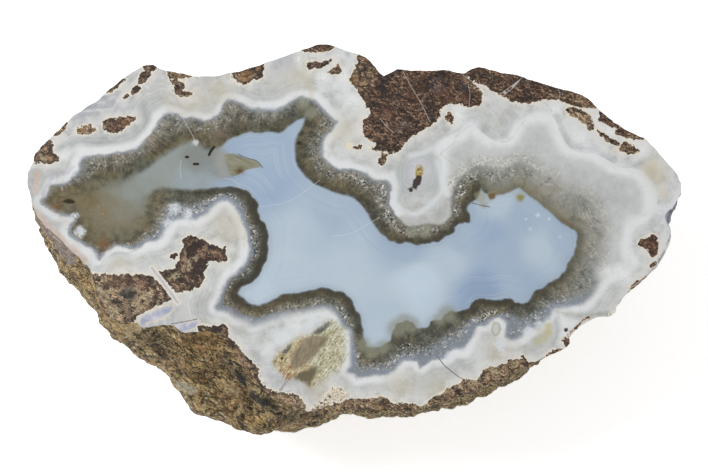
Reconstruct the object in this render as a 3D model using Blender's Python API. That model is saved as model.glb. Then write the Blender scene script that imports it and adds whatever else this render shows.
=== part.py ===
"""A half of a banded agate nodule: a rough stone, cut across once, with the cut polished flat.

The stone lies with its polished face up. It is built as a stack of rings, one for each depth below the face.
The top ring is the edge of the face, and the lowest one bounds the small flat spot that the stone rests on.
Lumps, ledges, pits and a crevice are then worked into the rind between the two.
"""
import math

import bmesh
import bpy
import numpy as np
from mathutils import Vector, noise

MM = 0.001
FULL_TURN = 360.0

# Driving dimensions, in millimetres and degrees
THICKNESS = 38.0
SHOULDER_DEPTH = 12.0
BASE_LENGTH = 60.0
BASE_WIDTH = 30.0
BASE_CENTRE = (-3.0, -1.0)
BASE_WAVER = 2.5
BASE_WAVES = 1.4
BASE_ROUNDNESS = 1.9
BELLY_FADE = 0.5
EDGE_DETAIL_DEPTH = 6.0
POINTS_AROUND = 220
RING_DEPTHS = (0.0, 0.7, 1.6, 2.8, 4.2, 5.6, 7.0, 8.5, 10.2, 12.0, 14.2, 16.8, 19.6, 22.6, 25.6, 28.4, 31.0, 33.4,
               35.4, 37.0, 38.0)

# The edge of the polished face, anticlockwise from the left end, seen from above
FACE_EDGE = (
    (-65.7, 11.6), (-65.0, 9.0), (-63.5, 4.3), (-60.4, 0.0), (-56.4, -3.4), (-52.5, -7.3), (-51.4, -12.0),
    (-50.3, -14.6), (-48.9, -17.0), (-46.5, -17.8), (-43.4, -17.9), (-42.5, -19.1), (-40.5, -18.9),
    (-36.5, -18.5), (-33.5, -20.3), (-30.6, -19.8), (-28.2, -20.0), (-26.2, -21.0), (-23.0, -25.2),
    (-18.2, -31.6), (-16.2, -33.2), (-10.6, -35.7), (-8.7, -36.7), (-6.3, -36.1), (-0.8, -35.9), (3.2, -36.1),
    (7.1, -35.9), (10.1, -36.1), (13.0, -35.8), (19.3, -33.6), (25.9, -31.1), (34.4, -27.0), (38.4, -25.0),
    (42.6, -23.0), (43.0, -20.8), (47.3, -17.2), (51.3, -16.7), (52.3, -14.6), (54.5, -12.1), (59.4, -7.5),
    (61.7, -4.4), (63.2, -1.3), (63.4, 1.3), (62.7, 4.2), (65.2, 8.0), (65.7, 10.4), (65.3, 12.5), (62.6, 16.1),
    (59.5, 19.9), (57.7, 21.2), (54.5, 22.7), (50.5, 25.9), (47.2, 29.4), (44.5, 30.6), (38.9, 32.2),
    (33.8, 34.0), (28.6, 35.2), (26.0, 35.9), (23.9, 35.6), (21.5, 34.5), (19.6, 35.4), (12.6, 35.2),
    (9.0, 35.6), (6.9, 34.4), (5.5, 34.1), (4.3, 36.2), (1.4, 38.8), (-0.8, 39.3), (-4.7, 40.8), (-6.5, 41.0),
    (-10.8, 39.7), (-15.8, 37.8), (-20.7, 36.0), (-25.1, 34.7), (-30.6, 33.9), (-35.1, 34.7), (-38.7, 35.4),
    (-41.0, 36.7), (-42.4, 36.4), (-44.4, 35.4), (-47.2, 33.2), (-51.4, 29.4), (-56.8, 25.4), (-59.7, 22.5),
    (-62.9, 19.1), (-64.2, 17.8), (-64.6, 15.4), (-65.5, 13.7),
)

# How far the rind stands out past that edge at the shoulder, by bearing from the middle of the face
SHOULDER_BULGE = (
    (0.0, -0.6), (3.0, 1.0), (8.0, -0.9), (30.0, -0.7), (55.0, -0.5), (68.0, 0.3), (76.0, 0.0), (81.0, -2.2),
    (88.0, -0.2), (120.0, -1.0), (138.0, -1.0), (150.0, -0.8), (163.0, -0.9), (172.0, 0.5), (178.0, 1.8),
    (183.0, 3.2), (187.0, 0.8), (191.0, 0.2), (195.0, 1.8), (200.0, 1.2), (204.0, 4.8), (208.0, 5.6),
    (212.0, 8.0), (215.0, 13.4), (219.0, 17.0), (223.0, 11.6), (228.0, 9.6), (236.0, 11.8), (241.0, 9.6),
    (246.0, 5.4), (250.0, 1.4), (254.0, -3.0), (260.0, -6.4), (268.0, -3.2), (275.0, -1.5), (290.0, -1.9),
    (298.0, 0.9), (306.0, -0.2), (314.0, -2.9), (322.0, -4.8), (330.0, -3.9), (340.0, -3.2), (352.0, -2.0),
)

# How many points around a ring its detail is averaged over
EDGE_SOFTENING = 4
BULGE_SOFTENING = 2
BELLY_SOFTENING = 9
HEADING_SOFTENING = 18

# The crevice below the face edge: where it runs, how deep below the face it lies and how far it cuts in
CREVICE_FROM = 221.0
CREVICE_TO = 251.0
CREVICE_DEPTHS = (3.6, 6.2)
CREVICE_HALF_HEIGHT = 1.7
CREVICE_CUT = 3.4
CREVICE_BLUNTNESS = 0.6

# Lumps of the rind as (width, height, shift of their pattern), from the broad swells down
LUMPS = ((30.0, 2.6, (0.0, 2.1, 5.7)), (14.0, 1.7, (7.3, 2.1, 5.7)), (6.5, 0.9, (14.6, 2.1, 5.7)))

# Rounded knobs that meet in clefts, and the share of their height that stands above the plain surface
KNOB_WIDTH = 11.0
KNOB_HEIGHT = 1.7
KNOB_LEVEL = 0.4
KNOB_SHIFT = (52.7, 28.9, 15.3)

# Where the relief starts below the face edge, and where it ends above the base
RELIEF_FADE_DEPTH = 5.0
BASE_FADE_HEIGHT = 3.0

# Ledges: worn layers that step out of the rind, one above the other
LEDGE_SPACING = 6.5
LEDGE_LIP = 6.0
LEDGE_HEIGHT = 0.9
LEDGE_WAVER = 5.0
LEDGE_WAVER_WIDTH = 28.0

# Pits: round hollows scattered over the rind
PIT_COUNT = 46
PIT_RADII = (1.8, 5.0)
PIT_DEPTH_SHARE = 0.34
PIT_SEED = 12
PIT_FIRST_RING = 3


def catmull_rom(before, start, end, after, t):
    """A point on the smooth curve from start to end, where t runs from 0 to 1."""
    return 0.5 * (2.0 * start + (end - before) * t + (2.0 * before - 5.0 * start + 4.0 * end - after) * t ** 2
                  + (3.0 * start - before - 3.0 * end + after) * t ** 3)


def closed_curve(points, count):
    """Even steps along a smooth closed curve through the points."""
    corners = np.array(points)
    fine = []
    for index in range(len(corners)):
        stretch = [corners[(index + shift) % len(corners)] for shift in (-1, 0, 1, 2)]
        fine += [catmull_rom(*stretch, t) for t in np.linspace(0.0, 1.0, 8, endpoint=False)]
    fine = np.array(fine + [fine[0]])
    along = np.concatenate(([0.0], np.cumsum(np.hypot(*np.diff(fine, axis=0).T))))
    steps = np.linspace(0.0, along[-1], count, endpoint=False)
    return np.column_stack([np.interp(steps, along, fine[:, axis]) for axis in (0, 1)])


def soften(ring, width):
    """The ring with the detail finer than the width, in points, averaged away."""
    offsets = np.arange(-3 * width, 3 * width + 1)
    weights = np.exp(-0.5 * (offsets / width) ** 2)
    shifted = [weight * np.roll(ring, offset, axis=0) for weight, offset in zip(weights, offsets)]
    return sum(shifted) / weights.sum()


def fade(value, width):
    """A smooth rise from 0 at no value to 1 at the width and beyond."""
    share = min(max(value / width, 0.0), 1.0)
    return share * share * (3.0 - 2.0 * share)


def bearings(ring):
    """The bearing of each point from the middle of the face, in degrees."""
    return np.degrees(np.arctan2(ring[:, 1], ring[:, 0])) % FULL_TURN


def outward(ring):
    """The direction away from the stone at each point of a ring."""
    forward = np.roll(ring, -1, axis=0) - np.roll(ring, 1, axis=0)
    across = np.column_stack((forward[:, 1], -forward[:, 0]))
    return across / np.linalg.norm(across, axis=1, keepdims=True)


def shoulder_ring(face_edge):
    """The ring where the rind stands out furthest, with the fine detail of the face edge softened."""
    degrees, bulges = np.array(SHOULDER_BULGE).T
    bulge = soften(np.interp(bearings(face_edge), degrees, bulges, period=FULL_TURN), BULGE_SOFTENING)
    heading = outward(soften(face_edge, HEADING_SOFTENING))
    return soften(face_edge, EDGE_SOFTENING) + heading * bulge[:, None]


def base_ring(face_edge):
    """The edge of the flat spot underneath, a wavering ellipse."""
    half_length = BASE_LENGTH / 2
    half_width = BASE_WIDTH / 2
    angles = np.arctan2(face_edge[:, 1] / half_width, face_edge[:, 0] / half_length)
    compass = np.column_stack((np.cos(angles), np.sin(angles)))
    waver = np.array([noise.noise(BASE_WAVES * Vector((x, y, 0.0))) for x, y in compass])
    ellipse = compass * np.array((half_length, half_width))
    return ellipse + BASE_WAVER * compass * waver[:, None] + np.array(BASE_CENTRE)


def plain_rings():
    """All rings from the face down to the base, before any lumps, as an array of rings by points by x, y, z."""
    face_edge = closed_curve(FACE_EDGE, POINTS_AROUND)
    soft_edge = soften(face_edge, EDGE_SOFTENING)
    shoulder = shoulder_ring(face_edge)
    belly = soften(shoulder, BELLY_SOFTENING)
    base = base_ring(face_edge)
    rings = []
    for depth in RING_DEPTHS:
        if depth <= SHOULDER_DEPTH:
            share = math.sin(0.5 * math.pi * depth / SHOULDER_DEPTH)
            edge_detail = (face_edge - soft_edge) * (1.0 - fade(depth, EDGE_DETAIL_DEPTH))
            ring = soft_edge + (shoulder - soft_edge) * share + edge_detail
        else:
            sunk = (depth - SHOULDER_DEPTH) / (THICKNESS - SHOULDER_DEPTH)
            share = 1.0 - (1.0 - sunk ** BASE_ROUNDNESS) ** (1.0 / BASE_ROUNDNESS)
            ring = shoulder + (belly - shoulder) * fade(sunk, BELLY_FADE)
            ring = ring + (base - ring) * share
        rings.append(np.column_stack((ring, np.full(POINTS_AROUND, THICKNESS - depth))))
    return np.array(rings)


def surface_normals(rings):
    """The direction out of the stone at each point of the rings."""
    around = np.roll(rings, -1, axis=1) - np.roll(rings, 1, axis=1)
    down = np.gradient(rings, axis=0)
    normals = np.cross(down, around)
    return normals / np.linalg.norm(normals, axis=2, keepdims=True)


def lump_height(place):
    """Lumps of several widths, out of the rind or into it, with rounded knobs that meet in clefts."""
    lumps = sum(height * noise.noise(place / width + Vector(shift)) for width, height, shift in LUMPS)
    nearest = noise.voronoi(place / KNOB_WIDTH + Vector(KNOB_SHIFT))[0][0]
    return lumps + KNOB_HEIGHT * (KNOB_LEVEL - nearest * nearest)


def ledge_height(place):
    """Worn layers: each one stands out at its lower rim and steps back sharply below it."""
    waver = LEDGE_WAVER * noise.noise(place / LEDGE_WAVER_WIDTH)
    layer = ((place.z + waver) / LEDGE_SPACING) % 1.0
    return LEDGE_HEIGHT * (0.5 - layer) * min(1.0, LEDGE_LIP * layer)


def scatter_pits(rings):
    """Places and radii of the pits, drawn over the rings below the face edge."""
    draw = np.random.default_rng(PIT_SEED)
    levels = draw.integers(PIT_FIRST_RING, len(rings) - 2, PIT_COUNT)
    points = draw.integers(0, POINTS_AROUND, PIT_COUNT)
    radii = draw.uniform(*PIT_RADII, PIT_COUNT)
    return [(Vector(rings[level, point]), radius) for level, point, radius in zip(levels, points, radii)]


def pit_height(place, pits):
    """The hollows of the pits: round in plan, deepest in the middle."""
    total = 0.0
    for centre, radius in pits:
        reach = (place - centre).length / radius
        if reach < 1.0:
            total -= PIT_DEPTH_SHARE * radius * (1.0 - reach * reach) ** 2
    return total


def crevice_height(place, bearing):
    """The dark crevice that runs under the face edge and sinks as it goes round."""
    along = (bearing - CREVICE_FROM) / (CREVICE_TO - CREVICE_FROM)
    if not 0.0 < along < 1.0:
        return 0.0
    depth = CREVICE_DEPTHS[0] + (CREVICE_DEPTHS[1] - CREVICE_DEPTHS[0]) * along
    off_path = (THICKNESS - place.z - depth) / CREVICE_HALF_HEIGHT
    openness = math.sin(math.pi * along) ** CREVICE_BLUNTNESS
    return -CREVICE_CUT * openness * math.exp(-off_path * off_path)


def roughen(rings):
    """The rings with the rind's relief worked in, and the face edge and the base left flat."""
    normals = surface_normals(rings)
    pits = scatter_pits(rings)
    rough = rings.copy()
    for level in range(1, len(rings) - 1):
        depth = RING_DEPTHS[level]
        weight = fade(depth, RELIEF_FADE_DEPTH) * fade(THICKNESS - depth, BASE_FADE_HEIGHT)
        compass = bearings(rings[level])
        for point in range(POINTS_AROUND):
            place = Vector(rings[level, point])
            height = weight * (lump_height(place) + ledge_height(place) + pit_height(place, pits))
            height += crevice_height(place, compass[point])
            rough[level, point] += normals[level, point] * height
    return rough


def centred(rings):
    """The rings moved so that the middle of the stone's box stands over the origin."""
    flat = rings.reshape(-1, 3)
    middle = (flat.min(axis=0) + flat.max(axis=0)) / 2
    return rings - np.array((middle[0], middle[1], 0.0))


def stone_mesh(rings):
    """A closed mesh: quads between the rings, one flat face on top and one underneath."""
    shape = bmesh.new()
    verts = [[shape.verts.new(Vector(point) * MM) for point in ring] for ring in rings]
    for upper, lower in zip(verts, verts[1:]):
        for index in range(POINTS_AROUND):
            following = (index + 1) % POINTS_AROUND
            shape.faces.new((upper[index], lower[index], lower[following], upper[following])).smooth = True
    shape.faces.new(verts[0])
    shape.faces.new(reversed(verts[-1]))
    mesh = bpy.data.meshes.new("agate_nodule")
    shape.to_mesh(mesh)
    shape.free()
    return mesh


def agate_material():
    """Polished grey-white agate."""
    material = bpy.data.materials.new("banded_agate")
    material.use_nodes = True
    surface = material.node_tree.nodes["Principled BSDF"]
    surface.inputs["Base Color"].default_value = (0.56, 0.57, 0.56, 1.0)
    surface.inputs["Roughness"].default_value = 0.18
    surface.inputs["Metallic"].default_value = 0.0
    return material


def build_nodule():
    """The whole stone as one object, standing on its flat spot at the origin."""
    mesh = stone_mesh(centred(roughen(plain_rings())))
    mesh.materials.append(agate_material())
    stone = bpy.data.objects.new("agate_nodule", mesh)
    bpy.context.scene.collection.objects.link(stone)
    return stone


for old in list(bpy.data.objects):
    bpy.data.objects.remove(old)
build_nodule()
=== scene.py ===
"""Looks of the cut agate nodule: its polished, banded face and its weathered rind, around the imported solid."""

import math

import bpy
import numpy as np
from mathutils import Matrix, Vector, noise
from mathutils.bvhtree import BVHTree
from mathutils.geometry import delaunay_2d_cdt


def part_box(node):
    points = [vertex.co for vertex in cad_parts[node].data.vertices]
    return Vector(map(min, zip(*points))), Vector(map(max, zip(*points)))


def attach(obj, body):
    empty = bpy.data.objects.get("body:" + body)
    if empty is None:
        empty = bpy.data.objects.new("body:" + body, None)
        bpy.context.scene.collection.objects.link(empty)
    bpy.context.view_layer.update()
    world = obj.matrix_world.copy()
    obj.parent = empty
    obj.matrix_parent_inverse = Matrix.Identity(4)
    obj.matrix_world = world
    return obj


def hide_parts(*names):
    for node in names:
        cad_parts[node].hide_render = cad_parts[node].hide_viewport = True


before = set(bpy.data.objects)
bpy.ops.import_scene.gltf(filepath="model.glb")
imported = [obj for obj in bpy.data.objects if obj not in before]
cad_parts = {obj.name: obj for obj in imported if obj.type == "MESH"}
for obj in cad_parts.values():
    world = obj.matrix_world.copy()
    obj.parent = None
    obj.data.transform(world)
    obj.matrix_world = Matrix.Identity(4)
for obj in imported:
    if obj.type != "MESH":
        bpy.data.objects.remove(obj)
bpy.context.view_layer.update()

MM = 0.001
stone_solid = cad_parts["agate_nodule"]
low, high = (np.array(corner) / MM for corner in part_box("agate_nodule"))
FACE_HEIGHT = high[2]

# Camera: a long lens that looks down on the cut, 72 degrees above the horizon. Where it aims, 5 pixels of the
# picture are 1 mm, and it aims a little below the middle of the face, by that many mm
PHOTO_WIDTH, PHOTO_HEIGHT = 708, 472
LENS = 200.0
SENSOR = 36.0
ELEVATION = math.radians(72)
PIXELS_PER_MM = 5.0
FOCAL_PIXELS = PHOTO_WIDTH * LENS / SENSOR
AIM_BELOW_FACE_MIDDLE = 2.15

solid_points = np.array([vertex.co for vertex in stone_solid.data.vertices]) / MM
face_points = solid_points[solid_points[:, 2] > FACE_HEIGHT - 0.01]
face_middle = (face_points.min(axis=0) + face_points.max(axis=0)) / 2
aim = face_middle - (0, AIM_BELOW_FACE_MIDDLE, 0)
away = np.array((0, -math.cos(ELEVATION), math.sin(ELEVATION)))
camera_up = np.array((0, math.sin(ELEVATION), math.cos(ELEVATION)))
camera_spot = aim + away * FOCAL_PIXELS / PIXELS_PER_MM


def place_camera():
    """A camera above the face, a little to the front, with the photograph's long lens."""
    data = bpy.data.cameras.new("camera")
    data.lens = LENS
    data.sensor_width = SENSOR
    data.clip_end = 10
    camera = bpy.data.objects.new("camera", data)
    camera.location = camera_spot * MM
    camera.rotation_euler = Vector(-away).to_track_quat("-Z", "Y").to_euler()
    bpy.context.scene.collection.objects.link(camera)
    bpy.context.scene.camera = camera


place_camera()


def sight_lines(pixels):
    """Directions from the camera through places in the picture."""
    across, down = np.array(pixels, float).T
    return (
        -away * FOCAL_PIXELS
        + np.outer(across - PHOTO_WIDTH / 2, (1, 0, 0))
        + np.outer(PHOTO_HEIGHT / 2 - down, camera_up)
    )


def on_face(pixels):
    """Places in the picture, in mm on the polished face."""
    lines = sight_lines(pixels)
    reach = (FACE_HEIGHT - camera_spot[2]) / lines[:, 2]
    return (camera_spot + lines * reach[:, None])[:, :2]


solid_tree = BVHTree.FromPolygons(
    [tuple(point) for point in solid_points],
    [tuple(polygon.vertices) for polygon in stone_solid.data.polygons],
)


def on_stone(pixels):
    """Places in the picture, in mm on the first surface that the camera sees there."""
    hits = (solid_tree.ray_cast(camera_spot, line)[0] for line in sight_lines(pixels))
    return np.array([hit for hit in hits if hit is not None])


# Outlines on the face, as places in the picture
QUARTZ_TOP_LEFT = (
    (43, 199), (49, 191), (51, 185), (59, 184), (68, 182), (74, 176), (80, 170), (80, 163), (83, 158), (91, 156),
    (103, 155), (115, 153), (127, 151), (137, 148), (144, 142), (150, 135), (156, 127), (160, 120), (164, 115),
    (171, 113), (178, 115), (184, 118), (196, 118), (203, 121), (209, 120), (214, 117), (220, 113), (224, 105),
    (230, 100), (240, 103), (249, 108), (259, 109), (269, 110), (280, 109), (287, 105), (293, 100), (300, 97),
    (308, 99), (315, 101), (322, 107), (328, 114), (334, 120), (337, 122), (333, 128), (327, 135), (323, 144),
    (322, 153), (326, 160), (333, 167), (341, 169), (350, 169), (359, 171), (368, 176), (375, 181), (384, 181),
    (390, 184), (390, 194), (389, 203), (393, 210), (399, 219), (409, 226), (420, 225), (430, 224), (439, 225),
    (445, 223), (451, 215), (451, 207), (452, 199),
)
QUARTZ_TOP_RIGHT = (
    (454, 190), (458, 182), (464, 176), (471, 170), (480, 167), (491, 168), (501, 168), (513, 165), (522, 162),
    (532, 168), (542, 175), (551, 178), (558, 187), (572, 194), (585, 198), (597, 212), (601, 225), (600, 240),
    (599, 255), (592, 268), (594, 279),
)
GREY_TOP = (
    (446, 176), (443, 153), (449, 143), (462, 136), (471, 128), (477, 134), (486, 142), (498, 145), (510, 143),
    (517, 134), (524, 124), (536, 120), (547, 120), (554, 128), (558, 140), (564, 150), (576, 155), (592, 156),
    (601, 162), (610, 167), (622, 170), (635, 175), (642, 185), (648, 200), (645, 215), (632, 222), (625, 232),
    (624, 245), (627, 255), (630, 263), (622, 269), (611, 273), (603, 276),
)
QUARTZ_BOTTOM = (
    (597, 283), (591, 294), (582, 303), (573, 305), (561, 307), (554, 308), (550, 314), (545, 320), (538, 326),
    (526, 329), (522, 336), (514, 340), (508, 339), (505, 335), (507, 329), (506, 323), (502, 319), (496, 317),
    (491, 320), (486, 325), (479, 326), (474, 331), (468, 342), (463, 348), (455, 348), (448, 352), (442, 358),
    (430, 360), (424, 365), (420, 368), (417, 361), (411, 360), (404, 360), (399, 364), (395, 370), (390, 373),
    (380, 375), (370, 375), (359, 377), (354, 373), (348, 371), (351, 363), (351, 339), (350, 330), (343, 326),
    (339, 318), (336, 313), (331, 308), (322, 307), (311, 309), (300, 311), (289, 312), (275, 316), (262, 321),
    (253, 323), (248, 320), (239, 317), (232, 312), (224, 310), (216, 308), (220, 299), (224, 288), (230, 278),
    (238, 273), (246, 263), (250, 250), (248, 238), (245, 226), (238, 211), (230, 200), (221, 200), (216, 203),
    (209, 210), (200, 216), (195, 218), (181, 218), (171, 221), (165, 228), (161, 236), (155, 241), (146, 241),
    (140, 246), (134, 249), (128, 248), (121, 246), (114, 246), (106, 252), (101, 258), (98, 259), (95, 253),
    (90, 248), (83, 244), (78, 241), (71, 237), (68, 230), (70, 225), (74, 221), (71, 217), (64, 216), (58, 213),
    (51, 209), (44, 206), (40, 202),
)
BLUE_POOL = (
    (52, 200), (58, 195), (70, 192), (85, 188), (100, 184), (115, 180), (127, 176), (137, 171), (145, 167),
    (153, 160), (162, 154), (170, 149), (177, 145), (186, 141), (197, 141), (209, 148), (222, 144), (229, 138),
    (240, 134), (250, 131), (260, 132), (271, 130), (280, 131), (286, 126), (294, 120), (302, 116), (307, 112),
    (308, 117), (305, 125), (302, 132), (297, 141), (297, 150), (298, 160), (302, 169), (308, 176), (316, 182),
    (327, 188), (337, 192), (347, 194), (355, 197), (362, 203), (368, 211), (373, 219), (378, 228), (386, 236),
    (396, 242), (408, 244), (421, 244), (431, 243), (441, 241), (446, 235), (454, 233), (459, 223), (468, 221),
    (471, 213), (469, 206), (473, 200), (476, 197), (480, 186), (486, 191), (498, 193), (510, 190), (519, 186),
    (526, 191), (534, 197), (546, 206), (559, 218), (569, 228), (575, 233), (576, 243), (574, 253), (567, 263),
    (566, 271), (556, 279), (546, 286), (534, 293), (528, 299), (522, 304), (516, 303), (508, 299), (503, 297),
    (493, 299), (483, 299), (476, 299), (473, 303), (466, 309), (458, 311), (450, 309), (443, 313), (440, 319),
    (431, 321), (426, 326), (418, 328), (413, 321), (406, 319), (398, 323), (393, 329), (390, 339), (383, 346),
    (373, 349), (365, 347), (363, 339), (360, 326), (359, 316), (354, 311), (352, 304), (346, 296), (334, 291),
    (321, 289), (309, 292), (296, 294), (283, 296), (273, 300), (263, 306), (255, 307), (246, 303), (240, 298),
    (236, 293), (241, 286), (250, 283), (256, 278), (261, 268), (266, 258), (267, 246), (268, 236), (265, 226),
    (260, 221), (257, 213), (256, 203), (250, 195), (241, 190), (230, 187), (218, 188), (206, 190), (190, 192),
    (168, 190), (156, 193), (150, 202), (147, 214), (141, 227), (130, 238), (118, 239), (104, 242), (92, 238),
    (83, 230), (77, 218), (68, 209), (57, 205),
)
HOST_ROCK = (
    ((36, 150), (44, 145), (50, 140), (53, 147), (51, 152), (59, 157), (53, 163), (40, 162), (33, 161)),
    ((103, 123), (108, 119), (120, 118), (135, 117), (129, 124), (122, 130), (112, 133), (106, 131)),
    ((77, 130), (81, 127), (89, 125), (94, 128), (95, 131), (87, 133), (80, 133)),
    ((143, 66), (150, 62), (157, 63), (155, 69), (150, 74), (146, 80), (142, 84), (138, 84), (140, 76), (145, 71)),
    ((131, 91), (136, 86), (140, 87), (139, 91), (132, 94)),
    ((124, 99), (126, 94), (129, 96)),
    ((105, 91), (111, 84), (119, 79), (124, 79), (119, 86), (110, 92)),
    ((54, 134), (59, 127), (67, 120), (65, 128), (59, 135)),
    (
        (170, 80), (176, 82), (183, 82), (184, 87), (180, 91), (191, 93), (186, 97), (178, 94), (174, 92), (174, 86),
    ),
    ((167, 68), (180, 70), (194, 75), (186, 77), (172, 79)),
    ((232, 76), (238, 70), (250, 69), (258, 65), (263, 63), (263, 70), (261, 78), (252, 80), (246, 84), (238, 82)),
    ((300, 49), (310, 45), (321, 41), (331, 42), (334, 47), (326, 51), (316, 52), (306, 51)),
    ((307, 62), (315, 62), (322, 63), (330, 59), (331, 61), (324, 66), (316, 68), (309, 68)),
    ((329, 73), (334, 68), (338, 65), (342, 71), (336, 74)),
    (
        (350, 80), (353, 73), (356, 68), (358, 60), (360, 52), (368, 58), (375, 66), (381, 72), (380, 76), (372, 78),
        (362, 80), (358, 85), (355, 86),
    ),
    (
        (358, 91), (360, 80), (372, 77), (381, 74), (392, 71), (396, 67), (424, 68), (452, 67), (462, 74), (470, 80),
        (477, 87), (481, 93), (480, 104), (470, 106), (462, 104), (451, 103), (445, 105), (440, 110), (439, 117),
        (434, 122), (430, 126), (426, 128), (418, 132), (411, 137), (405, 142), (400, 150), (392, 153), (383, 151),
        (377, 150), (371, 148), (378, 145), (375, 142), (369, 139), (365, 135), (363, 126), (365, 119), (372, 114),
        (368, 107), (364, 100),
    ),
    ((383, 152), (386, 158), (382, 165), (378, 161), (381, 157)),
    ((354, 147), (358, 145), (361, 147), (357, 149)),
    ((447, 114), (450, 113), (453, 117), (452, 122), (449, 122), (446, 119)),
    (
        (469, 68), (480, 65), (495, 69), (510, 71), (522, 73), (535, 78), (545, 83), (558, 84), (571, 89), (582, 92),
        (593, 99), (598, 105), (599, 108), (590, 107), (578, 106), (568, 103), (560, 100), (550, 99), (540, 100),
        (530, 103), (520, 103), (510, 100), (503, 96), (497, 93), (490, 89), (485, 85), (477, 82), (468, 76),
        (463, 71),
    ),
    (
        (567, 107), (575, 108), (585, 112), (590, 118), (594, 128), (590, 130), (585, 124), (578, 118), (568, 113),
    ),
    ((600, 112), (604, 114), (610, 120), (619, 127), (617, 129), (606, 123), (600, 122)),
    ((615, 132), (620, 128), (630, 131), (641, 135), (643, 139), (630, 138), (622, 136)),
    ((598, 131), (606, 136), (614, 140), (621, 145), (617, 146), (608, 141), (600, 135)),
    ((620, 146), (627, 142), (632, 146), (638, 151), (630, 154), (622, 151)),
    (
        (638, 242), (645, 239), (651, 235), (656, 236), (658, 246), (657, 252), (654, 257), (650, 255), (648, 249),
        (643, 247),
    ),
    ((650, 267), (652, 263), (655, 263), (653, 268)),
    ((630, 289), (634, 284), (643, 279), (640, 283), (634, 288)),
    ((563, 341), (566, 338), (570, 341), (568, 347), (565, 346)),
    ((547, 356), (553, 351), (563, 348), (557, 352), (550, 357)),
    ((609, 314), (613, 313), (612, 316)),
    (
        (190, 236), (203, 240), (206, 242), (214, 246), (221, 249), (225, 247), (225, 253), (227, 261), (211, 260),
        (207, 263), (206, 268), (202, 272), (204, 276), (202, 283), (195, 288), (187, 290), (177, 292), (172, 287),
        (165, 281), (157, 273), (165, 271), (175, 268), (179, 260), (181, 253), (184, 246), (183, 241), (186, 238),
    ),
    ((171, 257), (176, 253), (175, 258)),
    (
        (84, 272), (91, 274), (107, 275), (130, 275), (149, 276), (155, 280), (163, 287), (171, 295), (171, 298),
        (163, 303), (149, 309), (138, 315), (133, 321), (120, 324), (104, 314), (95, 297), (88, 280),
    ),
    (
        (198, 326), (212, 327), (226, 325), (228, 336), (239, 348), (245, 356), (257, 368), (258, 376), (262, 385),
        (256, 384), (240, 370), (222, 352), (205, 338),
    ),
    (
        (262, 385), (270, 390), (286, 394), (295, 395), (302, 401), (305, 408), (308, 412), (314, 408), (322, 402),
        (326, 396), (333, 390), (342, 389), (345, 399), (357, 399), (370, 399), (383, 397), (390, 401), (395, 404),
        (413, 404), (421, 408), (427, 404), (433, 398), (442, 395), (448, 388), (455, 386), (466, 380), (475, 381),
        (479, 379), (483, 371), (489, 368), (501, 366), (510, 361), (520, 360), (523, 356), (526, 361), (533, 363),
        (530, 368), (510, 376), (490, 385), (465, 397), (445, 406), (420, 411), (380, 413), (345, 411), (322, 414),
        (310, 418), (300, 416), (285, 408), (264, 394),
    ),
)
PLUME = (
    (272, 365), (274, 357), (283, 348), (292, 341), (301, 336), (311, 333), (318, 327), (331, 320), (340, 325),
    (345, 331), (347, 346), (345, 359), (340, 370), (330, 376), (320, 383), (311, 390), (305, 384), (295, 381),
    (287, 382), (281, 374),
)
PLUME_CORE = (
    (
        (296, 350), (303, 341), (310, 336), (320, 335), (328, 336), (326, 343), (320, 350), (314, 357), (307, 362),
        (300, 367), (294, 370), (291, 364), (292, 356),
    ),
    ((293, 379), (299, 373), (308, 369), (317, 366), (316, 374), (312, 382), (309, 388), (303, 382), (297, 381)),
)
PLUME_SLITS = (
    ((311, 334), (318, 327), (332, 320), (326, 330), (319, 334)),
    ((281, 353), (287, 346), (293, 342), (290, 350), (286, 354)),
)
FANG = (
    (223, 155), (233, 153), (239, 155), (247, 158), (257, 161), (262, 167), (258, 168), (252, 169), (245, 171),
    (242, 173), (236, 176), (230, 176), (227, 168),
)
FANG_HAZE = (
    (183, 152), (190, 146), (200, 145), (212, 152), (222, 154), (228, 160), (231, 176), (221, 177), (214, 173),
    (207, 169), (196, 170), (186, 164),
)
EYE_CAVITY = ((415, 173), (418, 167), (421, 166), (423, 170), (422, 176), (418, 179), (416, 178))
LAVENDER_STRIPS = (
    ((139, 319), (152, 312), (166, 306), (174, 307), (168, 315), (158, 319), (148, 323), (141, 327)),
    ((176, 325), (190, 322), (197, 320), (198, 326), (190, 330), (179, 333), (174, 329)),
)
CORNER_CHIP = ((672, 208), (664, 217), (672, 231))
CREAM_CRUST = (
    (312, 408), (321, 399), (328, 393), (334, 388), (343, 388), (348, 395), (343, 402), (332, 404), (321, 408),
)
BUBBLE = ((119, 294), (123, 290), (130, 289), (136, 292), (135, 297), (128, 300), (122, 298))
SMALL_EYE = ((494, 323), (498, 323), (500, 328), (498, 334), (494, 335), (492, 329))
TIP_HOLLOW = ((62, 201), (66, 199), (71, 199), (76, 202), (71, 204), (65, 203))
TIP_SKIN = ((32, 212), (45, 226), (60, 240), (75, 254), (82, 263), (74, 264), (58, 254), (38, 232))
DROPS = (
    ((488, 193), (496, 193), (496, 197), (493, 200), (490, 200), (488, 197)),
    ((516, 195), (525, 195), (524, 199), (521, 202), (518, 200)),
)
PATCHES = {
    "host": HOST_ROCK,
    "plume": (PLUME,),
    "core": PLUME_CORE,
    "slit": PLUME_SLITS,
    "fang": (FANG,),
    "haze": (FANG_HAZE,),
    "cavity": (EYE_CAVITY,),
    "lavender": LAVENDER_STRIPS,
    "chip": (CORNER_CHIP,),
    "crust": (CREAM_CRUST,),
    "bubble": (BUBBLE,),
    "small_eye": (SMALL_EYE,),
    "hollow": (TIP_HOLLOW,),
    "skin": (TIP_SKIN,),
    "brown_drop": DROPS[:1],
    "olive_drop": DROPS[1:],
}

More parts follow.
